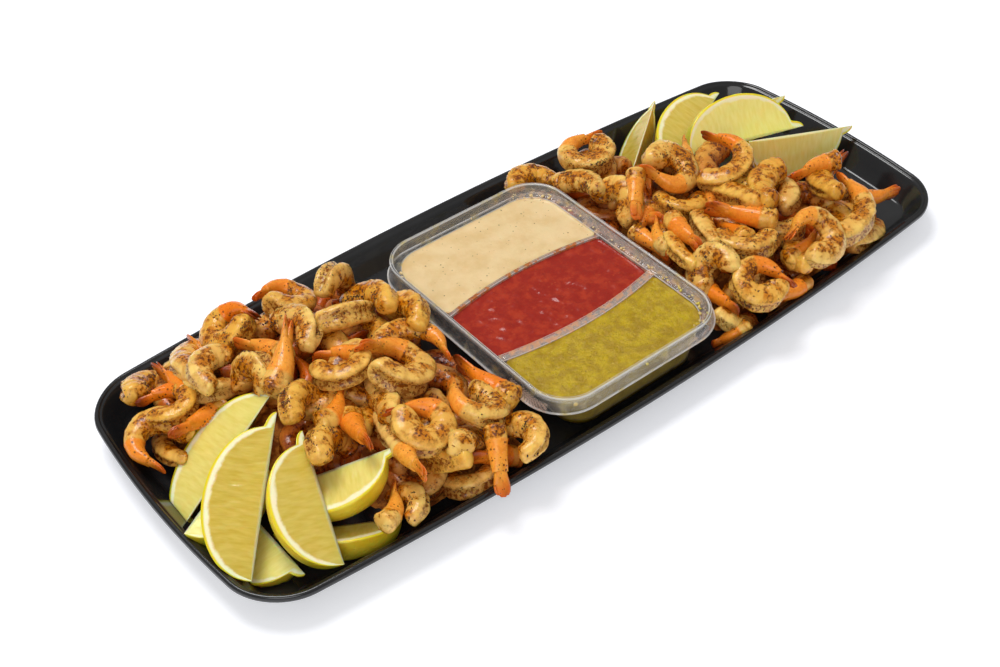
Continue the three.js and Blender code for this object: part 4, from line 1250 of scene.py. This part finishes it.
def build_specks():
    """Scattered specks of uneven size: a mask, and a number that differs from speck to speck."""
    inputs = {"size_mm": 2.0, "reach": 0.3, "share": 0.4}
    group, nodes, entry, leave = new_group("specks", inputs, ("mask", "kind"))
    place = nodes.add("TexCoord").outputs["Object"]
    scale = nodes.math("DIVIDE", 1000.0, entry["size_mm"])
    warp = nodes.add("TexNoise", {"Vector": place, "Scale": scale, "Detail": 2.0}).outputs["Color"]
    bend = nodes.add("VectorMath", operation="MULTIPLY_ADD")
    nodes.feed(bend.inputs[0], warp)
    bend.inputs[1].default_value = (0.0007, 0.0007, 0.0007)
    nodes.feed(bend.inputs[2], place)
    cells = nodes.add("TexVoronoi", {"Vector": bend.outputs[0], "Scale": scale}).outputs
    parts = nodes.add("SeparateColor", {0: cells["Color"]}).outputs
    size = nodes.times(entry["reach"], nodes.step(parts[1], 0.0, 1.0, 0.35, 1.0))
    inside = nodes.step(cells["Distance"], nodes.times(size, 0.6), size, 1.0, 0.0)
    chosen = nodes.math("LESS_THAN", parts[0], entry["share"])
    nodes.feed(leave["mask"], nodes.times(inside, chosen))
    nodes.feed(leave["kind"], parts[2])
    return group


MOTTLING = build_mottling()
SPECKS = build_specks()


class Material(Nodes):
    """A material that is finished by its surface shader."""

    def __init__(self, name):
        self.material = bpy.data.materials.new(name)
        self.material.use_nodes = True
        self.material.node_tree.nodes.clear()
        super().__init__(self.material.node_tree)

    def finish(self, colour, roughness, feeds=(), **constants):
        """Adds the surface shader; constants are set on its own sockets."""
        fed = {"Base Color": colour, "Roughness": roughness, **dict(feeds)}
        shader = self.add("BsdfPrincipled", fed)
        for key, value in constants.items():
            shader.inputs[key.replace("_", " ")].default_value = value
        self.add("OutputMaterial", {"Surface": shader.outputs[0]})
        return self.material


def black_plastic():
    nodes = Material("black_plastic")
    cloudy = nodes.patches(45.0, 0.35, 0.7)
    colour = nodes.mix(cloudy, tone(24, 24, 25), tone(33, 33, 34))
    roughness = nodes.step(cloudy, 0.0, 1.0, 0.1, 0.2)
    relief = nodes.bump(nodes.grain(0.9, 2.0), 0.05, 0.25)
    return nodes.finish(colour, roughness, {"Normal": relief}, IOR=1.5)


def grip_pattern(nodes):
    """The small diamonds pressed into the lip where the container is held to be opened."""
    place = nodes.add("TexCoord").outputs["Object"]
    x, y, z = nodes.add("SeparateXYZ", {0: place}).outputs
    outward = nodes.math("SUBTRACT", z, x)
    waves = []
    for slant in ("ADD", "SUBTRACT"):
        turn = nodes.times(nodes.math(slant, y, outward), 2 * math.pi / (GRIP_PITCH * MM))
        waves.append(nodes.math("SINE", turn))
    inside = nodes.step(nodes.plus(*waves), -0.9, 0.7, 1.0, 0.15)
    for along, edge, past in (
        (x, GRIP_SIDE, GRIP_SIDE - 0.3),
        (y, GRIP_ENDS[0], GRIP_ENDS[0] + 1.5),
        (y, GRIP_ENDS[1], GRIP_ENDS[1] - 1.5),
        (z, GRIP_TOP, GRIP_TOP - 1),
    ):
        inside = nodes.times(inside, nodes.step(along, edge * MM, past * MM))
    return inside


def clear_plastic():
    nodes = Material("clear_plastic")
    smudges = nodes.patches(7.0, 0.5, 0.72)
    smears = nodes.patches(3.5, 0.42, 0.62)
    waves = nodes.grain(5.0, 2.0)
    # painted sheen: the pale colour turns opaque at grazing angles, where the plastic would reflect;
    # the smudges add real haze
    edge = nodes.add("LayerWeight", {"Blend": 0.35}).outputs["Facing"]
    clear = nodes.step(edge, 0.35, 1.0, 0.04, 0.4)
    # painted highlight: the pale colour turns opaque along rims and edges to draw their light lines
    edge_highlight = nodes.step(nodes.mark("edge_highlight"), 0.3, 0.95, 0.0, 0.5)
    spread = nodes.step(smears, 0.0, 1.0, 0.3, 1.0)
    soiled = nodes.times(spread, nodes.mark("soiled"))
    sheen_and_smudge_haze = nodes.plus(clear, nodes.times(smudges, 0.2))
    alpha = nodes.plus(nodes.plus(sheen_and_smudge_haze, edge_highlight), nodes.times(soiled, 0.62))
    roughness = nodes.step(smudges, 0.0, 1.0, 0.06, 0.22)
    colour = nodes.mix(smudges, tone(240, 240, 238), tone(214, 198, 128))
    smear = nodes.mix(nodes.mark("rusty"), tone(220, 164, 124), tone(190, 104, 40))
    colour = nodes.mix(soiled, colour, smear)
    grip = grip_pattern(nodes)
    alpha = nodes.math("MAXIMUM", alpha, nodes.times(grip, 0.75))
    colour = nodes.mix(grip, colour, tone(226, 196, 180))
    feeds = {"Normal": nodes.bump(waves, 0.2, 0.4), "Alpha": alpha}
    return nodes.finish(colour, roughness, feeds, IOR=1.55, Coat_Weight=0.5, Coat_Roughness=0.04)


def dip_crumbs():
    nodes = Material("dip_crumbs")
    patches = nodes.patches(2.0)
    cream = nodes.mix(patches, tone(240, 218, 170), tone(228, 196, 132))
    green = nodes.mix(patches, tone(214, 196, 84), tone(196, 166, 40))
    return nodes.finish(nodes.mix(nodes.mark("kind"), cream, green), 0.4)


def dip_finish(name, patches, tones, specks, speck_tones, strength, grain, roughness, **constants):
    """A dip of two tones with specks of two more; grain is its size, detail, height, strength."""
    nodes = Material(name)
    colour = nodes.mix(nodes.patches(*patches), *(tone(*levels) for levels in tones))
    size_mm, reach, share = specks
    flecks = nodes.use(SPECKS, size_mm=size_mm, reach=reach, share=share)
    fleck = nodes.mix(flecks["kind"], *(tone(*levels) for levels in speck_tones))
    colour = nodes.tint(colour, flecks["mask"], strength, fleck)
    relief = nodes.bump(nodes.grain(*grain[:2]), *grain[2:])
    return nodes.finish(colour, roughness, {"Normal": relief}, **constants)


def cream_dip():
    tones, herbs = ((229, 201, 150), (218, 185, 129)), ((120, 92, 50), (96, 98, 52))
    return dip_finish(
        "cream_dip", (14.0, 0.35, 0.7), tones, (2.2, 0.22, 0.36), herbs, 0.85, (1.6, 4.0, 0.25, 0.5),
        0.34, Subsurface_Weight=0.15, Subsurface_Scale=0.003,
    )


def red_sauce():
    tones, bits = ((150, 30, 12), (172, 50, 22)), ((116, 18, 8), (200, 84, 40))
    return dip_finish(
        "red_sauce", (6.0, 0.4, 0.7), tones, (2.4, 0.36, 0.35), bits, 0.35, (2.2, 3.0, 0.12, 0.3),
        0.21, Specular_IOR_Level=0.3, Subsurface_Weight=0.1, Subsurface_Scale=0.002,
    )


def green_dip():
    tones, seeds = ((160, 128, 0), (188, 158, 4)), ((112, 84, 10), (212, 190, 80))
    return dip_finish(
        "green_dip", (7.0, 0.35, 0.65), tones, (1.3, 0.36, 0.5), seeds, 0.75, (0.9, 4.0, 0.5, 0.9),
        0.34, Specular_IOR_Level=0.35, Subsurface_Weight=0.1, Subsurface_Scale=0.002,
    )


def lemon_peel_and_flesh():
    nodes = Material("lemon")
    radial, along, rind = nodes.mark("radial"), nodes.mark("along"), nodes.mark("rind")
    depth_in, span = nodes.mark("depth_in"), nodes.mark("span")
    uneven = nodes.grain(7.0, 3.0)
    wavy = nodes.plus(depth_in, nodes.step(uneven, 0.0, 1.0, -1.3, 1.3))
    # flesh: drop-shaped juice cells that run from the ridge out to the pith
    across, outward = nodes.times(span, 0.5), nodes.times(depth_in, 0.12)
    fibre_place = nodes.add("CombineXYZ", {0: across, 1: outward, 2: 0.0}).outputs[0]
    fibre = nodes.add("TexNoise", {"Vector": fibre_place, "Scale": 1.0, "Detail": 2.0})
    cells = nodes.add("TexVoronoi", {"Vector": fibre_place, "Scale": 0.8}).outputs["Distance"]
    wet = nodes.step(fibre.outputs["Fac"], 0.2, 0.8)
    flesh = nodes.mix(wet, tone(198, 168, 52), tone(214, 188, 80))
    pale_and_lit_flesh = nodes.mix(wet, tone(242, 226, 118), tone(250, 238, 146))
    # painted light: the paler flesh also lifts wedges whose cut faces lie in shade
    flesh = nodes.mix(nodes.mark("paleness_and_painted_light"), flesh, pale_and_lit_flesh)
    walls = nodes.step(cells, 0.4, 0.85)
    flesh = nodes.tint(flesh, walls, 0.1, tone(240, 222, 140))
    pith = nodes.mix(nodes.step(depth_in, 0.7, 1.7), tone(232, 210, 34), tone(250, 240, 198))
    face = nodes.mix(nodes.step(wavy, 2.5, 4.2), pith, flesh)
    face = nodes.mix(nodes.step(radial, 0.02, 0.07, 0.6, 0.0), face, tone(246, 238, 204))
    # rind: yellow, greener towards the ends
    patches = nodes.patches(16.0, 0.35, 0.65)
    yellow = nodes.mix(patches, tone(226, 196, 24), tone(238, 214, 60))
    ends = nodes.step(nodes.math("ABSOLUTE", along), 0.55, 0.95)
    green = nodes.times(ends, nodes.step(patches, 0.0, 1.0, 0.35, 0.85))
    peel = nodes.mix(green, yellow, tone(166, 178, 30))
    colour = nodes.mix(nodes.step(rind, 0.45, 0.55), face, peel)
    pores = nodes.use(SPECKS, size_mm=1.6, reach=0.4, share=0.9)["mask"]
    dimples = nodes.times(nodes.times(pores, rind), -1.0)
    ribs = nodes.times(nodes.step(rind, 0.0, 0.5, 0.35, 0.0), walls)
    relief = nodes.plus(dimples, ribs)
    roughness = nodes.step(rind, 0.0, 1.0, 0.2, 0.4)
    feeds = {"Normal": nodes.bump(relief, 0.3, 0.6)}
    return nodes.finish(colour, roughness, feeds, Subsurface_Weight=0.4, Subsurface_Scale=0.008)


def shrimp_flesh():
    nodes = Material("shrimp")
    share, cut, back = nodes.mark("share"), nodes.mark("cut"), nodes.mark("back")
    pinch, own, deep = nodes.mark("pinch"), nodes.mark("tone"), nodes.mark("deep")
    patches = nodes.patches(7.0, 0.42, 0.56)
    fine = nodes.patches(2.0, 0.47, 0.58)
    # peeled flesh: paler on the outside of the curl and darker orange towards its inside, where the
    # seasoning's stains and browned patches gather too
    pale = nodes.mix(own, tone(248, 211, 118), tone(240, 186, 76))
    inner = nodes.step(back, 0.0, 0.85, 1.0, 0.1)
    flesh = nodes.tint(pale, inner, 0.45, tone(214, 138, 34))
    stained = nodes.times(patches, nodes.step(inner, 0.0, 1.0, 0.3, 0.95))
    flesh = nodes.mix(stained, flesh, tone(198, 118, 6))
    flesh = nodes.tint(flesh, pinch, 0.25, tone(186, 108, 24))
    worst = nodes.times(nodes.math("MAXIMUM", inner, cut), patches)
    browned = nodes.times(worst, nodes.step(fine, 0.0, 1.0))
    flesh = nodes.tint(flesh, browned, 0.9, tone(104, 48, 2))
    split = nodes.times(cut, nodes.step(fine, 0.0, 1.0, 0.35, 0.9))
    flesh = nodes.mix(split, flesh, tone(138, 74, 12))
    # the last shell segment and the tail fan
    shell = nodes.mix(own, tone(246, 166, 60), tone(238, 126, 18))
    shell = nodes.tint(shell, fine, 0.3, tone(212, 100, 8))
    shell = nodes.mix(nodes.step(share, 0.84, 0.98, 0.0, 0.65), shell, tone(206, 74, 6))
    burnt = nodes.times(nodes.step(share, 0.86, 1.0), nodes.step(own, 0.45, 0.9))
    shell = nodes.tint(shell, burnt, 0.85, tone(84, 32, 12))
    colour = nodes.mix(nodes.step(share, FLESH_END - 0.01, FLESH_END + 0.015), flesh, shell)
    spots = nodes.use(SPECKS, size_mm=1.5, reach=0.46, share=0.7)
    spice = nodes.mix(spots["kind"], tone(58, 30, 8), tone(140, 72, 10))
    dense = nodes.step(nodes.math("MAXIMUM", worst, cut), 0.0, 0.6, 0.08, 0.95)
    colour = nodes.tint(colour, spots["mask"], dense, spice)
    # painted shade: the colour is darkened towards warm brown the deeper the point lies in the heap
    painted_shade = nodes.mix(1.0, colour, tone(188, 98, 18), "MULTIPLY")
    colour = nodes.tint(colour, deep, 0.8, painted_shade)
    grain = nodes.grain(1.8)
    roughness = nodes.step(grain, 0.3, 0.7, 0.14, 0.28)
    return nodes.finish(
        colour, roughness, {"Normal": nodes.bump(grain, 0.3, 0.6)}, Specular_IOR_Level=0.34,
        Subsurface_Weight=0.2, Subsurface_Scale=0.003,
    )


def dried_spice():
    nodes = Material("dried_spice")
    kind = nodes.mark("kind")
    dark = nodes.mix(nodes.step(kind, 0.0, 0.6), tone(44, 26, 10), tone(104, 56, 14))
    colour = nodes.mix(nodes.step(kind, 0.6, 0.9), dark, tone(168, 96, 20))
    grain = nodes.grain(0.5)
    return nodes.finish(colour, 0.55, {"Normal": nodes.bump(grain, 0.1, 0.6)})


def shaded_flesh():
    nodes = Material("shaded_flesh")
    patches = nodes.patches(6.0, 0.42, 0.6)
    flecks = nodes.use(SPECKS, size_mm=1.5, reach=0.46, share=0.7)["mask"]
    # painted shade: flesh colours darkened as for shrimps deep in the heap's shadow
    colour = nodes.mix(patches, tone(128, 62, 12), tone(186, 112, 38))
    colour = nodes.tint(colour, flecks, 0.6, tone(70, 34, 8))
    lumps = nodes.grain(4.0)
    return nodes.finish(colour, 0.6, {"Normal": nodes.bump(lumps, 1.2)}, Specular_IOR_Level=0.15)


def pale_board():
    nodes = Material("pale_board")
    patches = nodes.patches(220.0)
    colour = nodes.mix(patches, tone(228, 229, 232), tone(225, 226, 230))
    return nodes.finish(colour, 0.8, {"Emission Color": colour}, Emission_Strength=0.53)


# ---- platter

build_tray(black_plastic())
build_container(clear_plastic())
build_crumbs("crumbs_of_dip", dip_crumbs())
build_dip("cream_filling", "cream_dip", cream_dip(), CREAM_LEVEL, None, FAR_DIVIDER, cream_surface)
build_dip("red_filling", "red_sauce", red_sauce(), RED_LEVEL, FAR_DIVIDER, NEAR_DIVIDER, red_surface)
build_dip("green_filling", "green_dip", green_dip(), GREEN_LEVEL, NEAR_DIVIDER, None, green_surface)

lemon_finish = lemon_peel_and_flesh()
wedges = []
for index, row in enumerate(LEMON_WEDGES, start=1):
    wedges.append(build_wedge(index, row, lemon_finish, wedges))

shrimp_finish, core_finish, spice_finish = shrimp_flesh(), shaded_flesh(), dried_spice()
for side, salt, rows, footprint in (
    ("left", 4, LEFT_SHRIMPS, LEFT_FOOTPRINT),
    ("right", 5, RIGHT_SHRIMPS, RIGHT_FOOTPRINT),
):
    heap, lower = Heap(), Heap()
    for number, row in enumerate(rows):
        add_shrimp(heap, row, 100 * salt + number, *FINE_MESH)
    upper = heap.finish(f"{side}_shrimps", shrimp_finish, rows, (f"shrimp_heap_{side}",))
    for number, row in enumerate(lower_layer(rows, footprint, SEED + salt)):
        add_shrimp(lower, row, 500 * salt + number, *COARSE_MESH)
    under = lower.finish(f"{side}_lower_shrimps", shrimp_finish, rows)
    scatter_chips(f"{side}_seasoning", (upper, under), SEED + salt, spice_finish)
    build_core(f"{side}_heap_core", rows, footprint, core_finish)

# ---- floor, lights


FLOOR_REACH = 3  # metres


def build_floor():
    mesh = bpy.data.meshes.new("floor")
    ways = ((-1, -1), (1, -1), (1, 1), (-1, 1))
    corners = [(x * FLOOR_REACH, y * FLOOR_REACH, 0) for x, y in ways]
    mesh.from_pydata(corners, [], [(0, 1, 2, 3)])
    mesh.materials.append(pale_board())
    floor = bpy.data.objects.new("floor", mesh)
    bpy.context.scene.collection.objects.link(floor)


def add_soft_light(name, place, size, watts):
    """A round light that shines at the middle of the tray."""
    light = bpy.data.lights.new(name, "AREA")
    light.shape = "DISK"
    light.size = size
    light.energy = watts
    lamp = bpy.data.objects.new(name, light)
    lamp.location = place
    lamp.rotation_euler = (-Vector(place)).to_track_quat("-Z", "Y").to_euler()
    bpy.context.scene.collection.objects.link(lamp)


build_floor()
add_soft_light("main_light", (-0.1, 0.5, 1.4), 0.7, 12.6)
add_soft_light("front_light", (-0.9, -0.9, 0.9), 1.0, 6.5)

world = bpy.data.worlds.new("studio")
bpy.context.scene.world = world
world.use_nodes = True
sky = Nodes(world.node_tree)
height = sky.add("SeparateXYZ", {0: sky.add("TexCoord").outputs["Generated"]}).outputs[2]
glow = sky.step(height, 0.1, 0.95, 0.24, 0.52)
sky.feed(world.node_tree.nodes["Background"].inputs["Color"], tone(255, 255, 255))
sky.feed(world.node_tree.nodes["Background"].inputs["Strength"], glow)
bpy.context.scene.view_settings.view_transform = "Standard"
